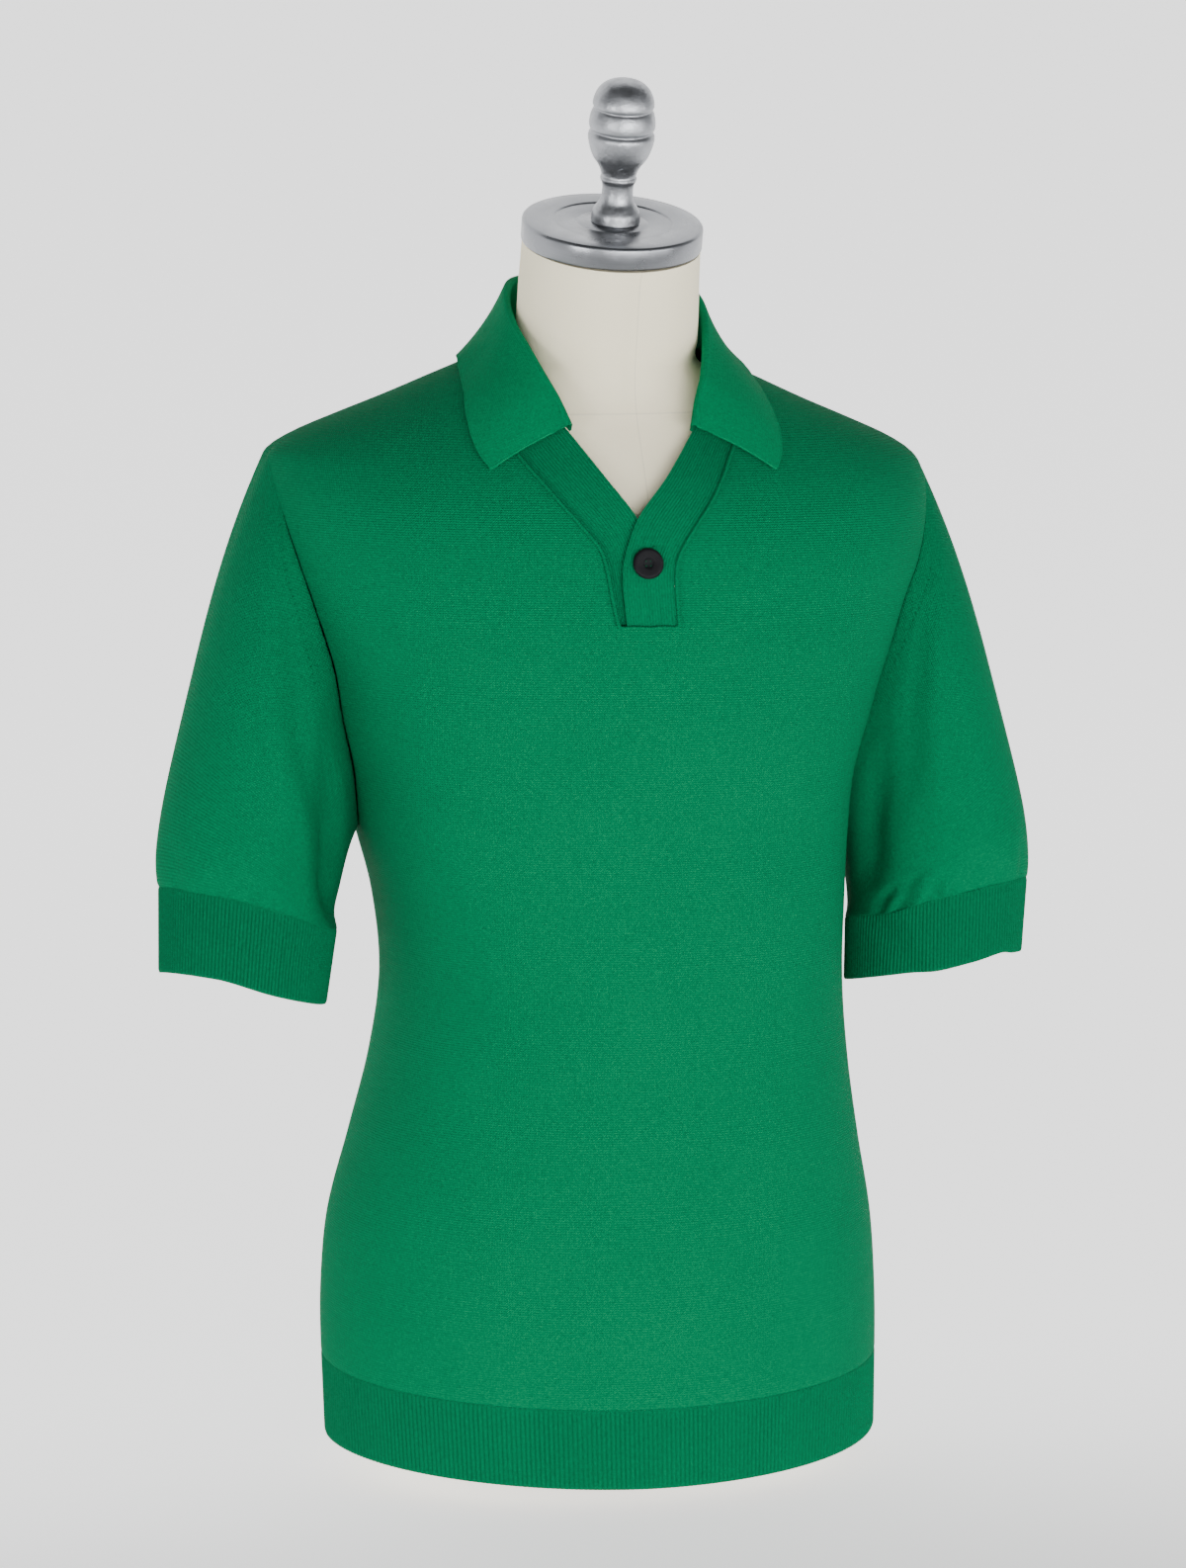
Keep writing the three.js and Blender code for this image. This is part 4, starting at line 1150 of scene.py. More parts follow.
@dataclass
class Panel:
    """Front or back of the body: one smooth sheet from the hem's seam to the neck."""

    seams: tuple
    face: Face
    cloth: float = 1.8
    hem_z: float = 76
    neck_z: float = 748
    row_height: float = 4.5
    armhole_rows: int = 62
    neck_rows: int = 18
    girth_steps: int = 180
    hem_roll: float = 0.8
    hem_roll_width: float = 1.3
    folds: tuple = ()

    def heights(self) -> np.ndarray:
        """Heights of the rows, closer together at the hem's seam."""
        lower_rows = int((FORM.armpit_z - self.hem_z) / self.row_height)
        lower = np.linspace(self.hem_z + 6, FORM.armpit_z, lower_rows)
        turns = np.linspace(np.pi, 0, self.armhole_rows + 1)
        upper = np.linspace(FORM.tip_z, self.neck_z, self.neck_rows)
        hem = self.hem_z + np.array([0, 0.7, 1.6, 3.2])
        return np.concatenate([hem, lower[:-1], FORM.armhole_height(turns), upper[1:]])

    def end_angle(self, z: np.ndarray) -> np.ndarray:
        """Angle at which each row ends: the side seam, the armhole or the shoulder line."""
        inside = (z > FORM.armpit_z) & (z < FORM.tip_z)
        return np.where(inside, FORM.armhole_angle(FORM.armhole_turn(z), self.face), 0)

    def surface(self, z: np.ndarray, angle: np.ndarray) -> tuple:
        """Points of the sheet and their places on the cloth.

        Args:
            z: one height for each row.
            angle: rows by columns of angles.

        Returns:
            Points and cloth places, rows by columns.
        """
        points = FORM.point(z[:, None], angle, self.face)
        normals = grid_normals(points, from_axis)
        height = fold_height(self.folds, points[..., 0], points[..., 2])
        height = height - self.hem_roll * bell(points[..., 2] - self.hem_z, self.hem_roll_width)
        across = np.zeros(angle.shape)
        turns = np.linspace(0, np.pi, self.girth_steps + 1)
        for i, level in enumerate(z):
            reach = reach_along(FORM.point(np.full(turns.shape, level), turns, self.face))
            across[i] = np.interp(angle[i], turns, reach) - np.interp(np.pi / 2, turns, reach)
        cloth = np.stack([across, np.broadcast_to(z[:, None], angle.shape)], axis=-1)
        points = FORM.hang(points + normals * height[..., None])
        for seam in self.seams:
            points = points + seam.bend(points) - normals * seam.groove(points)[..., None]
        return points, cloth

    def block(self, z: np.ndarray, start: np.ndarray, stop: np.ndarray, shares: np.ndarray) -> tuple:
        """Points and cloth places of a block of the sheet between two angles for each row."""
        return self.surface(z, start[:, None] + (stop - start)[:, None] * shares)

    def side_shares(self, columns: int) -> np.ndarray:
        """Columns from the armhole to the middle, closer together at the armhole."""
        return np.concatenate([[0, 0.004, 0.01, 0.018, 0.028], np.linspace(0.042, 1, columns)])

    def join(self, blocks: Sequence[tuple]) -> bmesh.types.BMesh:
        """One wall of cloth out of blocks."""
        bm = join_meshes([lay_grid(*block) for block in blocks], weld=0.02)
        turn_outwards(bm, lambda place: Vector((place.x, place.y, 0)))
        thicken(bm, self.cloth)
        return bm


@dataclass
class FrontPanel(Panel):
    """Front of the body, cut open for the neck slot, whose edge is rolled."""

    face: Face = Face.FRONT
    slot: NeckSlot = None
    side_columns: int = 48
    middle_columns: int = 12
    top_z: float = 731

    def rows(self) -> np.ndarray:
        """Heights of the rows, one of them at the slot's foot, up to the top of the shoulder."""
        z = self.heights()
        foot = self.slot.foot_z - self.slot.foot_gap
        z[np.argmin(np.abs(z - foot))] = foot
        return np.append(z[z < self.top_z - 2], self.top_z)

    def build(self) -> tuple:
        """Builds the sheet and measures its cut."""
        z = self.rows()
        end = self.end_angle(z)
        right = FORM.angle_of(self.slot.right_x(z), z)
        left = FORM.angle_of(self.slot.left_x(z), z)
        below = z <= self.slot.foot_z
        shares = self.side_shares(self.side_columns)
        blocks = [
            self.block(z, end, right, shares),
            self.block(z[below], right[below], left[below], np.linspace(0, 1, self.middle_columns + 1)),
            self.block(z, left, np.pi - end, 1 - shares[::-1]),
        ]
        bm = join_meshes([self.join(blocks), self.slot.piping()])
        return to_object(bm, "front_panel"), cut_of(*[points for points, _ in blocks])


@dataclass
class BackPanel(Panel):
    """Back of the body, cut out round the neck."""

    face: Face = Face.BACK
    columns: int = 46
    neck: tuple = (
        (-75, -6), (-70, 22), (-59, 44), (-35, 58), (0, 63), (35, 58), (59, 44), (70, 22), (75, -6))
    neck_steps: int = 400

    def neck_angle(self, z: np.ndarray) -> np.ndarray:
        """Angle at which each row meets the neck's cut, or a quarter turn where it doesn't."""
        line = smooth_line(self.neck, np.linspace(0, 1, self.neck_steps))
        turns = np.linspace(0, np.pi / 2, self.neck_steps)
        result = np.full(len(z), np.pi / 2)
        for i, height in enumerate(z):
            row = FORM.point(np.full(turns.shape, height), turns, self.face)
            limit = np.interp(row[:, 0], line[:, 0], line[:, 1], left=-1e3, right=-1e3)
            inside = row[:, 1] < limit
            if inside.any():
                result[i] = turns[np.argmax(inside)]
        return result

    def build(self) -> tuple:
        """Builds the sheet and measures its cut."""
        z = self.heights()
        end = self.end_angle(z)
        cut = np.maximum(self.neck_angle(z), end)
        shares = self.side_shares(self.columns)
        blocks = [
            self.block(z, end, cut, shares),
            self.block(z, np.pi - cut, np.pi - end, 1 - shares[::-1]),
        ]
        return to_object(self.join(blocks), "back_panel"), cut_of(*[points for points, _ in blocks])


Curve = Callable[[np.ndarray], np.ndarray]
RING_STEPS = 2880


def even_ring(curve: Curve, count: int) -> np.ndarray:
    """Points spaced evenly along a closed curve of the turn, the first one again at the end."""
    return even_line(curve(np.linspace(0, 2 * np.pi, RING_STEPS + 1)), count + 1)


def rib_crests(phase: np.ndarray) -> np.ndarray:
    """Rounded ribs, from -1 in the valleys to 0 on the crests, one for each pi of the phase."""
    return np.abs(np.cos(phase)) ** RIB_ROUNDNESS - 1


@dataclass
class RibBand:
    """A ribbed band round an opening: rounded ribs outside, plain inside."""

    name: str
    ribs: int
    top: Curve
    bottom: Curve
    cloth: float = 2.4
    depth: float = 0.9
    edge_depth: float = 0.45
    rib_columns: int = 6
    seam_dip: float = 0.5
    edge_roll: float = 0.6
    waves: tuple = ()

    def shares(self) -> np.ndarray:
        """Rows of the band, closer together at its two edges."""
        top, bottom = [0, 0.014, 0.035, 0.07], [0.93, 0.965, 0.985, 1]
        return np.concatenate([top, np.linspace(0.14, 0.86, 10), bottom])

    def build(self) -> tuple:
        """Builds the band and measures its cut."""
        count = self.ribs * self.rib_columns
        top, bottom = even_ring(self.top, count), even_ring(self.bottom, count)
        share = self.shares()[:, None]
        grid = lerp(top[None], bottom[None], share[..., None])
        tangent = np.roll(grid[:, :-1], -1, axis=1) - np.roll(grid[:, :-1], 1, axis=1)
        tangent = np.concatenate([tangent, tangent[:, :1]], axis=1)
        normal = unit(np.stack([tangent[..., 1], -tangent[..., 0], np.zeros(tangent.shape[:2])], axis=-1))
        centre = grid[:, :-1].mean(axis=1, keepdims=True)
        if np.sum(normal * (grid - centre)) < 0:
            normal = -normal
        crests = rib_crests(np.arange(count + 1) / self.rib_columns * np.pi)
        # The ribs die out into the linked edges, which are rolled a little inwards.
        inner = smooth_step(0, 0.06, share) * (1 - smooth_step(0.95, 1, share))
        relief = crests[None, :] * self.depth * lerp(self.edge_depth, 1, inner)
        relief = relief - self.seam_dip * bell(share, 0.018) - self.edge_roll * bell(1 - share, 0.02)
        degrees = np.linspace(0, 360, count + 1)[None, :]
        down = share * np.linalg.norm(top - bottom, axis=1).mean()
        relief = relief + fold_height(self.waves, degrees, down)
        grid = grid + normal * relief[..., None]
        bm = lay_grid(grid, cloth_places(reach_along(top), -down[:, 0]), weld=0.01)
        middle = Vector(grid.mean(axis=(0, 1)) * MM)
        turn_outwards(bm, lambda place: Vector((place.x - middle.x, place.y - middle.y, 0)))
        thicken(bm, self.cloth - self.depth / 2)
        return to_object(bm, self.name), cut_of(grid)


def body_ring(z: float) -> Curve:
    """The body's section at a height, as a function of the turn."""
    def curve(turn: np.ndarray) -> np.ndarray:
        """Points of the section."""
        front = FORM.point(z, np.minimum(turn, np.pi), Face.FRONT)
        back = FORM.point(z, np.minimum(2 * np.pi - turn, np.pi), Face.BACK)
        return FORM.hang(np.where((turn <= np.pi)[:, None], front, back))
    return curve


@dataclass
class Collar:
    """Knitted collar: a stand round the neck, a fold, and leaves that lie on the shoulders.

    Columns: seam x y z, fold x y z, edge x y z, bow.
    The rows go from the notch on the wearer's left to the middle of the back.
    """

    half: tuple = (
        (39.5, -86, 694, 39.5, -88, 697.5, 93, -91, 671, 2),
        (45, -80, 701, 44, -79, 709, 98, -86, 679, 2),
        (53, -70, 711, 51, -67, 725, 101, -74, 690, 2),
        (61, -54, 722, 57, -50, 741, 101, -56, 704, 1),
        (69, -32, 733, 62, -28, 757, 98, -32, 719, -1.5),
        (75, -6, 741, 63, -3, 770, 94, -2, 734.5, -3.5),
        (70, 22, 748, 58, 22, 780, 88, 27, 736, -3),
        (59, 44, 754, 48, 42, 784, 74, 54, 738, -1),
        (35, 58, 758, 28, 53, 786, 43, 75, 742, 1.5),
        (0, 63, 760, 0, 57, 787, 0, 82, 744, 2),
    )
    fold_shift: float = 4
    shift_from: float = 752
    shift_to: float = 784
    cloth: float = 1.8
    fold_radius: float = 2
    leaf_lift: float = 2.6
    leaf_rest_z: float = 712
    leaf_free_z: float = 734
    steps: int = 150
    stand_rows: int = 8
    fold_rows: int = 10
    leaf_rows: int = 26
    bead: float = 1.0
    bead_taper: float = 12
    bead_steps: int = 420

    def stations(self) -> tuple:
        """Seam, fold, edge and bow at each step round the neck, and the run of the fold."""
        half = np.array(self.half, float)
        mirror = half[:-1][::-1].copy()
        mirror[:, [0, 3, 6]] *= -1
        rows = np.vstack([half, mirror])
        shares = np.linspace(0, 1, self.steps + 1)
        seam, fold, edge = (smooth_line(rows[:, k : k + 3], shares) for k in (0, 3, 6))
        bow = np.interp(shares * (len(rows) - 1), np.arange(len(rows)), rows[:, 9])
        return seam, fold, edge, bow, np.gradient(fold, axis=0)

    def middle_line(self, seam: np.ndarray, fold: np.ndarray, edge: np.ndarray, bow: float,
                    run: np.ndarray) -> np.ndarray:
        """Middle of the cloth at one station.

        Args:
            seam: the foot of the stand.
            fold: the middle of the fold.
            edge: the edge of the leaf.
            bow: how far the leaf's middle bulges.
            run: the direction of the fold.

        Returns:
            The points, from the seam over the fold to the edge.
        """
        shift = self.fold_shift * float(smooth_step(self.shift_from, self.shift_to, fold[2]))
        fold = fold + np.array([shift, 0, 0])
        if edge[2] < self.leaf_free_z:
            depth = FORM.front_depth(edge[:1], edge[2:])[0]
            normal = FORM.front_normal(edge[:1], edge[2:])[0]
            rest = min(edge[1], depth + self.leaf_lift / normal[1])
            free = float(smooth_step(self.leaf_rest_z, self.leaf_free_z, edge[2]))
            edge = np.array([edge[0], lerp(rest, edge[1], free), edge[2]])
        run = unit(run)
        up = fold - seam
        up = unit(up - run * np.dot(up, run))
        out = edge - fold
        out = out - run * np.dot(out, run)
        out = unit(out - up * np.dot(out, up))
        r = self.fold_radius
        stand = [lerp(seam, fold, k / self.stand_rows) for k in range(self.stand_rows)]
        turns = np.linspace(0, np.pi, self.fold_rows + 1)
        turned = [fold + out * r * (1 - math.cos(a)) + up * r * math.sin(a) for a in turns]
        start = turned[-1]
        down = edge - start
        lift = unit(np.cross(down, np.cross(out, down)))
        if lift[2] < 0:
            lift = -lift
        shares = np.linspace(0, 1, self.leaf_rows + 1)[1:]
        leaf = [lerp(start, edge, s) + lift * math.sin(math.pi * s) * bow for s in shares]
        return np.array(stand + turned + leaf)

    def surface(self) -> np.ndarray:
        """Middle of the cloth at all stations."""
        return FORM.hang(np.array([self.middle_line(*row) for row in zip(*self.stations())]))

    def build(self) -> tuple:
        """Builds the collar with its knitted edge and measures its cut."""
        middle = self.surface()
        normals = grid_normals(middle, lambda grid: np.broadcast_to([0.0, 0.0, 1.0], grid.shape))
        down = np.concatenate([[0], np.cumsum(np.linalg.norm(np.diff(middle, axis=1), axis=2).mean(axis=0))])
        way = reach_along(middle[:, -1])
        cloth = np.stack(np.broadcast_arrays(way[:, None], -down[None, :]), axis=-1)
        half = normals * self.cloth / 2
        shell = np.concatenate([middle + half, (middle - half)[:, ::-1], (middle + half)[:, :1]], axis=1)
        bm = lay_grid(shell, np.concatenate([cloth, cloth[:, ::-1], cloth[:, :1]], axis=1), weld=1e-3)
        close_shell(bm)
        # The knitted edge starts three rows past the fold.
        first = self.stand_rows + self.fold_rows + 3
        path = np.vstack([middle[0, first:-1], middle[:, -1], middle[-1, first:-1][::-1]])
        bead = tube(even_line(path, self.bead_steps), self.bead, taper=self.bead_taper)
        return to_object(join_meshes([bm, bead]), "collar_leaf"), cut_of(np.swapaxes(middle, 0, 1))


@dataclass(frozen=True)
class Sink:
    """How deep a band lies below the body's face: at its seam, at its edge and at the slot's foot."""

    seam: float
    edge: float
    foot: float
    edge_share: float = 1.5
    foot_whole: float = 612
    foot_gone: float = 652

    def at(self, share: np.ndarray, z: np.ndarray) -> np.ndarray:
        """The depth at shares of the band's width, at heights."""
        open_part = lerp(self.seam, self.edge, np.minimum(share * self.edge_share, 1))
        return lerp(self.foot, open_part, smooth_step(self.foot_whole, self.foot_gone, z))


@dataclass
class NeckBand:
    """One of the two ribbed bands of the slot, with ribs along its length.

    The real ribs are about 1.4 mm apart. They are laid coarser, so that the render shows them.
    Off the machine the narrow ribbing draws in, and relaxed is how much wider it was knitted.
    """

    name: str
    seam: tuple
    edge: tuple
    sink: Sink
    cloth: float = 1.6
    ribs: int = 18
    rib_columns: int = 6
    rib_depth: float = 0.45
    relaxed: float = 1.4
    rows: int = 96

    def build(self) -> tuple:
        """Builds the band and measures its cut."""
        start, stop = (even_line(smooth_line(line, np.linspace(0, 1, 400)), self.rows + 1)
                       for line in (self.seam, self.edge))
        columns = self.ribs * self.rib_columns
        share = np.linspace(0, 1, columns + 1)
        place = lerp(start[:, None], stop[:, None], share[None, :, None])
        x, z = place[..., 0], place[..., 1]
        ribs = rib_crests(np.pi * share * self.ribs) * self.rib_depth
        points = FORM.on_front(x, z, ribs[None, :] - self.sink.at(share[None, :], z))
        width = np.linalg.norm(points[:, -1] - points[:, 0], axis=1).mean()
        bm = lay_grid(points, cloth_places(share * width, -reach_along(points[:, 0])))
        turn_outwards(bm, lambda place: Vector((0, -1, 0)))
        thicken(bm, self.cloth - self.rib_depth)
        cut = cut_of(points)
        return to_object(bm, self.name), Cut(cut.width * self.relaxed, cut.length, cut.area * self.relaxed)


@dataclass
class Button:
    """Near-black button with a domed rim, a dished middle and four holes, sewn on with green thread."""

    x: float = 0.5
    z: float = 613
    radius: float = 9.9
    thickness: float = 3.4
    seat: float = 0.8
    spread: float = 1.5
    hole: float = 0.5
    stitch: float = 0.45
    yarn: float = 0.3
    segments: int = 72
    knot: tuple = ((3.2, 9.2, 0.6), (4.2, 10.4, 0.9), (5.4, 10.9, 0.6), (6.1, 10.3, 0.3))

    def placing(self) -> Matrix:
        """Turns +Z to the front's normal and moves to the seat."""
        x, z = np.array([self.x], float), np.array([self.z], float)
        normal = Vector(FORM.front_normal(x, z)[0])
        seat = Vector(FORM.on_front(x, z, np.array([self.seat]))[0] * MM)
        turn = Vector((0, 0, 1)).rotation_difference(normal).to_matrix().to_4x4()
        return Matrix.Translation(seat) @ turn

    def build(self) -> tuple:
        """Builds the button and its thread."""
        r, t = self.radius, self.thickness
        profile = [
            (0, 0), (r - 1.6, 0), (r - 0.6, 0.35), (r - 0.1, 1.1), (r, 1.8), (r - 0.25, 2.5),
            (r - 0.9, t - 0.25), (r - 1.8, t), (r - 2.7, t - 0.1), (r - 4.4, t - 0.25), (3.9, t - 0.35),
            (3.4, t - 0.55), (3.0, t - 1.2), (2.6, t - 1.4), (0, t - 1.4),
        ]
        disc = lathe(profile, self.segments)
        disc.transform(self.placing())
        button = to_object(disc, "horn_button", crease=35)
        rise = np.linspace(0, self.stitch, 5)[:, None] * [0, 0, 1]
        feet = [(sx * self.spread, sy * self.spread, t - 1.6) for sx in (-1, 1) for sy in (-1, 1)]
        stitches = [tube(np.array(foot) + rise, self.hole, sides=12) for foot in feet]
        knot = tube(smooth_line(self.knot, np.linspace(0, 1, 16)), self.yarn, sides=8)
        thread = join_meshes([*stitches, knot])
        thread.transform(self.placing())
        return button, to_object(thread, "button_thread")


# Dress form


@dataclass
class DressForm:
    """Torso and neck of the form, its foot, metal cap and knob.

    Columns of the rows: z, middle, half, ridge, front, back, square.
    """

    rows: tuple = (
        (26, 1, 160, 0, -112, 112, 2.2),
        (34, 1, 168, 0, -119, 119, 2.2),
        (70, 1, 171.5, 0, -123, 122, 2.2),
        (120, 0, 171, 0, -123, 120, 2.2),
        (171, 2, 168, 0, -122, 116, 2.2),
        (225, 3, 158.5, 0, -120, 111, 2.25),
        (279, 5, 149, 0, -119, 106, 2.3),
        (332, 7, 145, 0, -119, 104, 2.3),
        (385, 6, 147.5, 1, -121, 107, 2.35),
        (430, 1, 153, 3, -124, 113, 2.35),
        (480, 0, 161, 5, -127, 118, 2.35),
        (530, 0, 171, 8, -127, 122, 2.3),
        (580, 0, 181, 10, -123, 124, 2.25),
        (625, 0, 188, 14, -114, 121, 2.15),
        (655, 0, 190, 17, -102, 114, 2.05),
        (674, 0, 187, 18, -91, 107, 2),
        (687, 0, 178, 18, -83, 100, 1.95),
        (699, 0, 160, 17, -76, 93, 1.8),
        (711, 0, 131, 15, -71, 84, 1.75),
        (723, 0, 94, 12, -69, 72, 1.75),
        (735, 0, 66, 4, -70, 58, 1.85),
        (750, 1.5, 60, -10, -74, 47, 2),
        (768, 1.2, 59, -18, -78, 39, 2),
        (786, 0.8, 58.5, -23, -82.5, 34, 2),
    )
    low_z: float = 26
    roll_z: float = 34
    hung_z: float = 70
    shoulder_z: float = 680
    top_z: float = 786
    neck: tuple = (0.8, -30, 811)
    neck_radius: float = 57.5
    tilt: float = 16.5
    segments: int = 160
    foot_half: float = 100
    foot_depth: float = 75
    foot_height: float = 25.7
    foot_edge: float = 4
    cap_radius: float = 58.5
    cap_height: float = 15
    gap: float = 0.3
    knob_shift: float = 1.7
    step_depth: float = 0.8

    def torso(self) -> bpy.types.Object:
        """Builds the torso and neck, closed below and at the slanted seat of the cap."""
        table = np.array(self.rows, float)
        heights = np.unique(np.concatenate([
            table[:, 0], np.linspace(self.low_z, self.roll_z, 5),
            np.linspace(self.roll_z, self.shoulder_z, 60), np.linspace(self.shoulder_z, self.top_z, 40)]))
        turn = np.linspace(0, 2 * np.pi, self.segments + 1)
        values = read_rows(table, heights)
        cosine, sine = np.cos(turn), np.sin(turn)
        rings = []
        for z, middle, half, ridge, front, back, square in values:
            across = -np.sign(cosine) * np.abs(cosine) ** (2 / square)
            depth = np.abs(sine) ** (2 / square)
            face = np.where(turn <= np.pi, front, back)
            x, y = middle + half * across, ridge + (face - ridge) * depth
            ring = np.stack([x, y, np.full_like(turn, z)], axis=-1)
            share = float(smooth_step(self.roll_z, self.hung_z, z))
            rings.append(lerp(ring, FORM.hang(ring), share))
        slant = math.tan(math.radians(self.tilt))
        x0, y0, z0 = self.neck
        offsets = np.stack([-self.neck_radius * cosine, -self.neck_radius * sine], axis=-1)
        seat = np.stack([x0 + offsets[:, 0], y0 + offsets[:, 1], z0 + offsets[:, 1] * slant], axis=-1)
        last = rings[-1]
        rings += [lerp(last, seat, share) for share in np.linspace(0, 1, 9)[1:]]
        grid = np.array(rings)
        # The linen's threads are counted round the chest.
        girth = reach_along(grid[60])
        cloth = np.stack(np.broadcast_arrays(girth[None, :], grid[..., 2]), axis=-1)
        bm = lay_grid(grid, cloth, weld=0.01)
        close_shell(bm)
        return to_object(bm, "linen_torso", crease=40)

    def foot(self) -> bpy.types.Object:
        """Builds the oval foot."""
        profile = [(0, 0), (self.foot_half - self.foot_edge, 0)]
        corners = ((self.foot_edge, range(-75, 1, 15)), (self.foot_height - self.foot_edge, range(0, 91, 15)))
        for middle, degrees in corners:
            for angle in map(math.radians, degrees):
                profile.append((self.foot_half - self.foot_edge * (1 - math.cos(angle)),
                                middle + self.foot_edge * math.sin(angle)))
        profile.append((0, self.foot_height))
        bm = lathe(profile, 96)
        bm.transform(Matrix.Diagonal((1, self.foot_depth / self.foot_half, 1, 1)))
        return to_object(bm, "wooden_foot")

    def on_neck(self, height: float) -> Matrix:
        """Stands a turned piece on the slanted neck, its foot at a height over the seat in millimetres."""
        return (Matrix.Translation(Vector(self.neck) * MM)
                @ Matrix.Rotation(math.radians(self.tilt), 4, "X")
                @ Matrix.Translation((0, 0, height * MM)))

    def cap(self) -> bpy.types.Object:
        """Builds the cap, with the shallow ring turned into its top."""
        r, h, d = self.cap_radius, self.cap_height, self.step_depth
        profile = [
            (0, 0), (r - 1.6, 0), (r - 0.5, 0.4), (r, 1.5), (r, h - 2.2), (r - 0.25, h - 1.2),
            (r - 0.9, h - 0.4), (r - 1.9, h), (r - 8, h + 0.05), (39.6, h), (38.8, h - 0.2), (38.3, h - 0.75),
            (37.4, h - d),
            (24.5, h - d), (23.8, h - d - 0.35), (22.4, h - d - 0.35), (21.7, h - d), (0, h - d),
        ]
        bm = lathe(profile, 160)
        bm.transform(self.on_neck(self.gap))
        return to_object(bm, "steel_cap", crease=35)

    def knob(self) -> bpy.types.Object:
        """Builds the knob, turned with beads and a waist."""
        foot = 2 * self.gap + self.cap_height - self.step_depth
        shape = [
            (15.6, 0), (15.9, 0.8), (15.8, 2.5), (15.2, 7), (13.2, 10.5), (11, 14), (10, 21), (10.5, 26),
            (11.4, 27.6), (11.8, 29.2), (11.3, 30.8), (11.3, 31.8), (12.4, 35), (14.2, 38.5), (17.4, 43),
            (20.2, 50), (21.4, 56.5), (21, 58.8), (19.9, 60.4), (19.9, 61.2), (20.9, 62.6), (21.3, 65.5),
            (20.8, 70), (19.7, 73.6), (18.8, 75), (18.8, 75.8), (19.7, 77.2), (19.6, 80), (18.6, 83.6),
            (16, 88.2), (11.5, 91.9), (6, 93.6), (0, 94),
        ]
        smooth = smooth_line(shape, np.linspace(0, 1, 160))
        smooth[:, 0] = np.maximum(smooth[:, 0], 0)
        smooth[-1, 0] = 0
        bm = lathe([(0, 0), *[tuple(point) for point in smooth]], 96)
        bm.transform(Matrix.Translation((self.knob_shift * MM, 0, 0)) @ self.on_neck(foot))
        return to_object(bm, "cast_knob", crease=60)


# Studio


@dataclass
class Studio:
    """Pale sweep of paper with a painted glow, low soft lights, a dim ceiling and the camera."""

    air_colour: str = "f4f6f8"
    air_low: float = 0.5
    air_high: float = 0.14
    air_from: float = 0.2
    air_to: float = 0.62
    azimuth: float = -13.5
    elevation: float = 8.0
    position: tuple = (-0.76667331, -3.17668022, 0.91487123)
    lens: float = 114.98

    def sweep(self) -> bpy.types.Object:
        """Builds the floor that curves up behind."""
        radius, width, near, far, high = 4500, 42000, -18000, 7800, 21000
        line = [(near, 0)]
        for step in range(0, 25):
            angle = math.radians(90 * step / 24)
            line.append((far - radius + radius * math.sin(angle), radius - radius * math.cos(angle)))
        line.append((far, high))
        path = np.array(line, float)
        sides = np.linspace(-width / 2, width / 2, 9)
        grid = np.stack(np.broadcast_arrays(sides[None, :], path[:, :1], path[:, 1:]), axis=-1)
        bm = lay_grid(grid, grid[..., :2])
        turn_outwards(bm, lambda place: Vector((0, -1, 1)))
        piece = to_object(bm, "studio_sweep", crease=80)
        piece.data.materials.append(PaperFinish().build())
        return piece

    def light(self, name: str, place: tuple, size: tuple, power: float, target: tuple = (0, 0, 0.45)) -> None:
        """Adds a soft lamp that looks at a place."""
        lamp = bpy.data.lights.new(name, "AREA")
        lamp.shape = "RECTANGLE"
        lamp.size, lamp.size_y = size
        lamp.energy = power
        piece = bpy.data.objects.new(name, lamp)
        piece.location = place
        piece.rotation_euler = (Vector(target) - Vector(place)).to_track_quat("-Z", "Y").to_euler()
        bpy.context.scene.collection.objects.link(piece)

    def camera(self) -> None:
        """Adds the camera at the photograph's angle."""
        data = bpy.data.cameras.new("view")
        data.lens, data.sensor_width, data.sensor_fit = self.lens, 36, "AUTO"
        data.clip_start, data.clip_end = 0.1, 60
        piece = bpy.data.objects.new("view", data)
        azimuth, elevation = math.radians(self.azimuth), math.radians(self.elevation)
        level = math.cos(elevation)
        back = Vector((math.sin(azimuth) * level, -math.cos(azimuth) * level, math.sin(elevation)))
        right = Vector((math.cos(azimuth), math.sin(azimuth), 0))
        up = back.cross(right)
        piece.matrix_world = Matrix((
            (right.x, up.x, back.x, self.position[0]),
            (right.y, up.y, back.y, self.position[1]),
            (right.z, up.z, back.z, self.position[2]),
            (0, 0, 0, 1)))
        bpy.context.scene.collection.objects.link(piece)
        bpy.context.scene.camera = piece

    def air(self) -> bpy.types.World:
        """The studio's own light, bright round the horizon and dim above."""
        world = bpy.data.worlds.new("studio_air")
        world.use_nodes = True
        tree = world.node_tree
        rise = parts_of(tree, add_node(tree, "ShaderNodeTexCoord").outputs["Generated"])["Z"]
        level = remap(tree, rise, (self.air_from, self.air_to), (self.air_low, self.air_high),
                      interpolation_type="SMOOTHSTEP")
        background = tree.nodes["Background"]
        background.inputs["Color"].default_value = linear(self.air_colour)
        tree.links.new(level, background.inputs["Strength"])
        return world

    def build(self) -> None:
        """Builds the studio."""
        self.sweep()
        bpy.context.scene.world = self.air()
        self.light("front_strip", (0.35, -2.7, 0.28), (2.8, 0.5), 82)
        self.light("left_strip", (-2.3, -1.9, 0.28), (1.3, 0.5), 33)
        self.light("right_strip", (2.4, -1.9, 0.28), (1.3, 0.5), 19)
        self.camera()


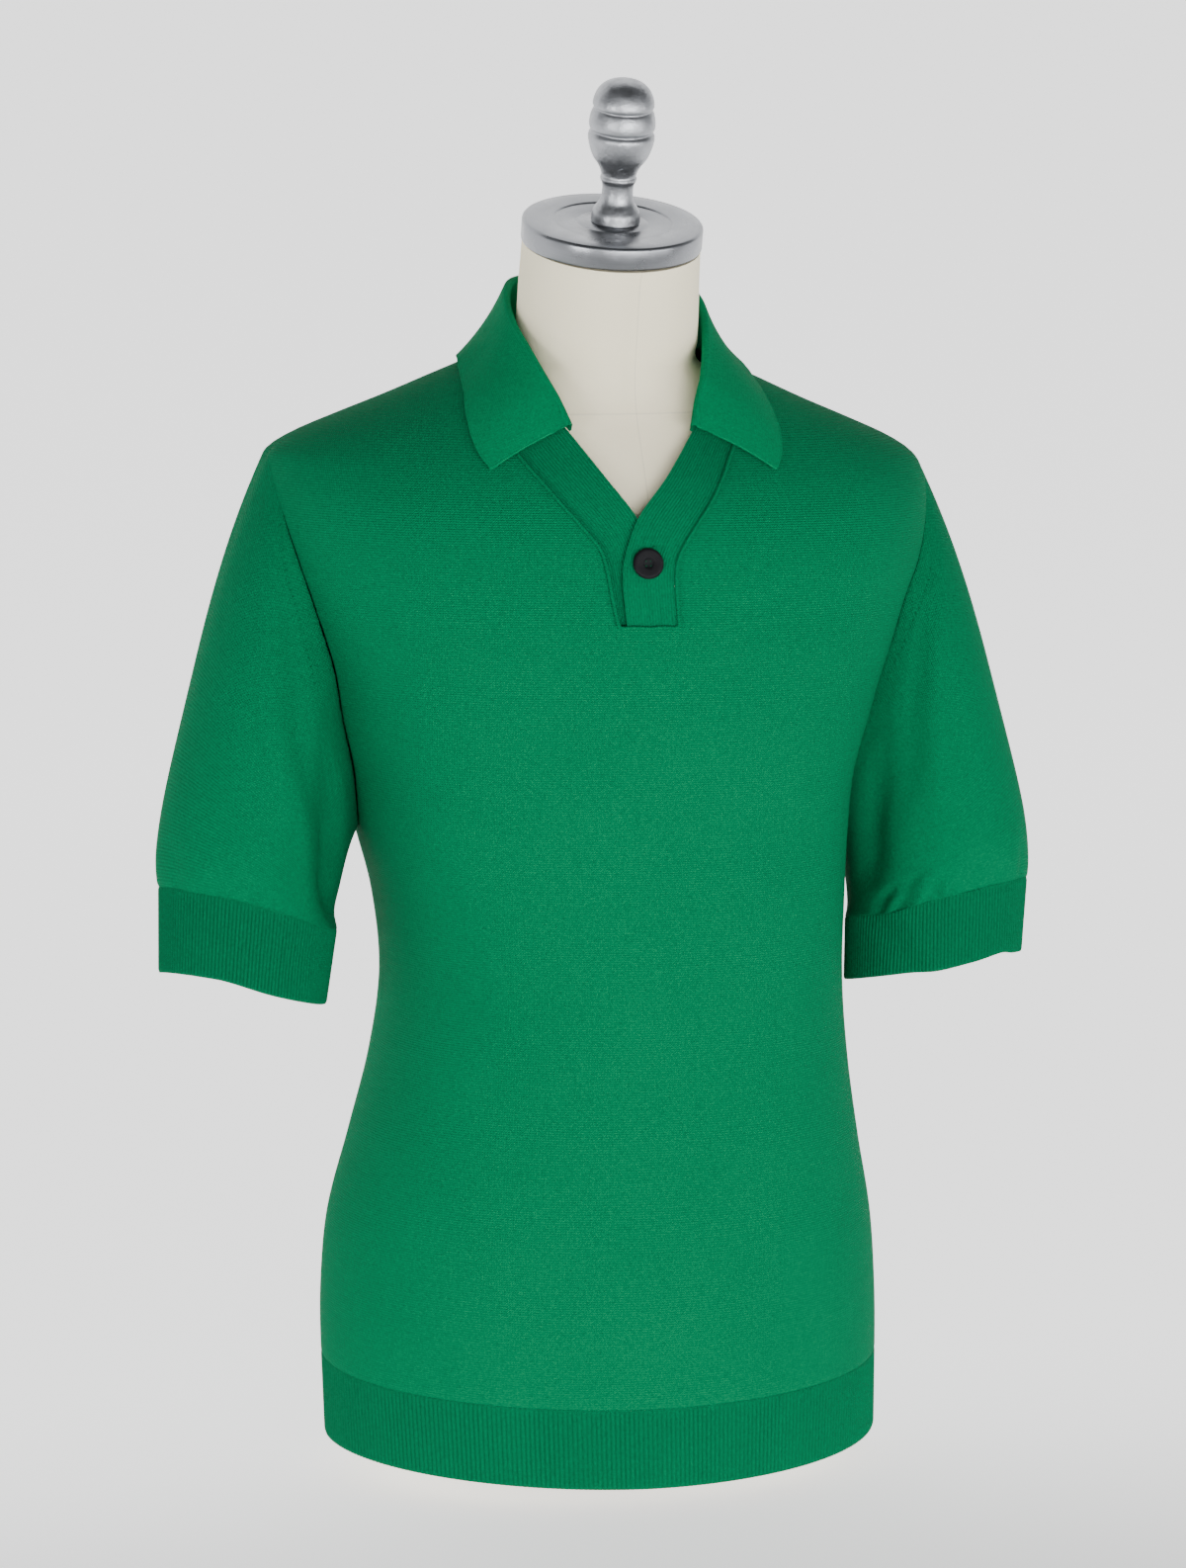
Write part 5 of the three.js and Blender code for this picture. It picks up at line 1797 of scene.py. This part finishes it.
FRONT_FOLDS = (
    Fold(((-176, 600), (-160, 560), (-140, 520)), 14, -1.0),
    Fold(((178, 600), (162, 560), (142, 520)), 14, -0.9),
    Fold(((-172, 470), (-120, 440), (-60, 430)), 26, 1.2),
    Fold(((150, 300), (90, 330), (30, 340)), 30, 0.9),
)
BACK_FOLDS = (
    Fold(((-176, 600), (-160, 560), (-138, 515)), 15, -1.1),
    Fold(((176, 600), (160, 560), (140, 515)), 15, -1.0),
    Fold(((-150, 330), (-80, 300), (0, 315), (90, 296)), 26, 1.2),
    Fold(((-110, 250), (-30, 262), (70, 246), (140, 262)), 20, -1.0),
)

# Places on a sleeve are degrees round it from its outer side over the front,
# and millimetres down from the armhole.
SLEEVE_FOLDS = {
    Side.RIGHT: (
        Fold(((34, 8), (46, 30), (58, 62), (68, 92), (80, 125), (89, 164), (96, 205)), 9, 2.4),
        Fold(((56, 14), (70, 36), (86, 72), (98, 112), (108, 150)), 11, -2.2),
        Fold(((118, 40), (127, 80), (135, 130), (143, 190), (150, 240), (154, 288)), 18, -11),
        Fold(((104, 130), (112, 180), (118, 225), (122, 270)), 8, 1.8),
        Fold(((62, 296), (60, 272)), 4, -0.8, open_start=True),
        Fold(((84, 296), (86, 266)), 5, -0.9, open_start=True),
        Fold(((104, 296), (100, 270)), 4, -0.7, open_start=True),
        Fold(((30, 296), (28, 270)), 5, -0.7, open_start=True),
        Fold(((326, 30), (314, 80), (300, 130)), 10, 1.8),
        Fold(((300, 40), (284, 90), (272, 140)), 11, -1.8),
        Fold(((240, 296), (246, 250)), 5, -1.2, open_start=True),
        Fold(((285, 296), (282, 262)), 5, -1.0, open_start=True),
        Fold(((330, 296), (332, 268)), 5, -0.8, open_start=True),
    ),
    Side.LEFT: (
        Fold(((38, 12), (50, 26), (64, 43), (77, 72), (87, 117), (92, 170), (94, 215)), 9, 2.4),
        Fold(((62, 14), (78, 32), (94, 64), (104, 110), (112, 160)), 11, -2.4),
        Fold(((116, 30), (128, 70), (138, 120), (146, 180), (150, 240)), 16, -8),
        Fold(((144, 298), (140, 262), (128, 236)), 6, -2.56, open_start=True),
        Fold(((136, 298), (131, 262)), 5, 1.76, open_start=True),
        Fold(((126, 298), (124, 266), (118, 240)), 5, -2.56, open_start=True),
        Fold(((116, 298), (113, 262), (110, 244)), 6, 2.43, open_start=True),
        Fold(((105, 298), (106, 278), (104, 262)), 3.4, -2.16, open_start=True),
        Fold(((99, 298), (99, 274)), 3.4, 1.49, open_start=True),
        Fold(((94, 298), (93, 276)), 3, -1.62, open_start=True),
        Fold(((82, 298), (80, 262), (84, 240)), 7, -1.49, open_start=True),
        Fold(((66, 298), (64, 274)), 5, -1.08, open_start=True),
        Fold(((38, 298), (40, 268)), 5, -1.08, open_start=True),
        Fold(((326, 30), (314, 80), (300, 130)), 10, 1.8),
        Fold(((300, 40), (284, 90), (272, 140)), 11, -1.8),
        Fold(((225, 298), (232, 250)), 6, -2.03, open_start=True),
        Fold(((262, 298), (258, 262)), 5, -1.76, open_start=True),
        Fold(((300, 298), (303, 266)), 5, -1.35, open_start=True),
        Fold(((340, 298), (338, 270)), 5, -1.08, open_start=True),
    ),
}
MARK_LINES = {
    Side.RIGHT: (((47.5, 7), (60, 19), (75, 26), (91, 40)), ((312, 8), (300, 19), (285, 26), (269, 36))),
    Side.LEFT: (((60, 18), (73, 20), (90, 16), (111, 11)), ((300, 18), (287, 20), (270, 16), (249, 11))),
}

# Places on a cuff are degrees round it and millimetres down from its seam.
CUFF_WAVES = {
    Side.RIGHT: (Fold(((150, 0), (120, 30), (100, 56)), 14, -0.9), Fold(((250, 0), (230, 56)), 12, 0.9)),
    Side.LEFT: (
        Fold(((150, 0), (128, 28), (112, 56)), 9, -1.7, open_start=True, open_stop=True),
        Fold(((132, 0), (114, 30), (100, 56)), 8, 1.5, open_start=True, open_stop=True),
        Fold(((104, 0), (88, 30), (78, 56)), 10, -1.1, open_start=True, open_stop=True),
        Fold(((250, 0), (230, 56)), 12, 1.0),
    ),
}


# The under band lies deepest at the slot's foot, the top one a little over the body's face.
UNDER_SINK = Sink(seam=0.6, edge=1.6, foot=2.3)
TOP_SINK = Sink(seam=-0.5, edge=-0.5, foot=-0.5)


def build_shirt(wardrobe: Wardrobe) -> None:
    """Builds and dresses the shirt's pieces, and measures their cut."""
    slot = NeckSlot()
    sleeves = {side: Sleeve(side, folds=SLEEVE_FOLDS[side], mark_lines=MARK_LINES[side]) for side in Side}
    seams = tuple(ArmholeSeam(side, sleeves[side]) for side in Side)

    front, cut = FrontPanel(seams, slot=slot, folds=FRONT_FOLDS).build()
    dress(front, wardrobe.knit, Slot.KNIT, "front")
    back, cut = BackPanel(seams, folds=BACK_FOLDS).build()
    dress(back, wardrobe.knit, Slot.KNIT, "back")

    for seam in seams:
        label = seam.side.name.lower()
        sleeve, cut = seam.sleeve.build(seam)
        dress(sleeve, wardrobe.knit, Slot.KNIT, f"sleeve_{label}")
        top, bottom = (partial(rim.point, seam.side) for rim in CUFF_RIMS[seam.side])
        cuff, cut = RibBand(f"cuff_{label}_rib", 141, top, bottom, waves=CUFF_WAVES[seam.side]).build()
        dress(cuff, wardrobe.rib, Slot.RIB, f"cuff_{label}")

    hem, cut = RibBand("hem_ribbing", 330, body_ring(76), body_ring(23)).build()
    dress(hem, wardrobe.rib, Slot.RIB, "hem_rib")
    collar, cut = Collar().build()
    dress(collar, wardrobe.collar, Slot.RIB, "collar")

    under, cut = NeckBand("under_band_rib", slot.under_seam, slot.under_edge, UNDER_SINK).build()
    dress(under, wardrobe.band, Slot.RIB, "band_under")
    top, cut = NeckBand("top_band_rib", slot.top_seam, slot.top_edge, TOP_SINK).build()
    dress(top, wardrobe.band, Slot.RIB, "band_top")
    button, thread = Button().build()
    dress(button, wardrobe.horn, Slot.BUTTON, "button")
    dress(thread, wardrobe.rib, Slot.BUTTON)


def build_form(wardrobe: Wardrobe) -> None:
    """Builds and dresses the dress form."""
    form = DressForm()
    dress(form.torso(), wardrobe.linen, Slot.LINEN, "form_torso")
    dress(form.foot(), wardrobe.wood, Slot.FOOT, "form_foot")
    dress(form.cap(), wardrobe.steel, Slot.CAP, "neck_cap")
    dress(form.knob(), wardrobe.cast, Slot.KNOB, "neck_knob")


def main() -> None:
    """Builds the whole scene."""
    logging.basicConfig(level=logging.INFO, format="%(message)s")
    wardrobe = Wardrobe()
    Studio().build()
    build_form(wardrobe)
    build_shirt(wardrobe)


if __name__ == "__main__":
    main()
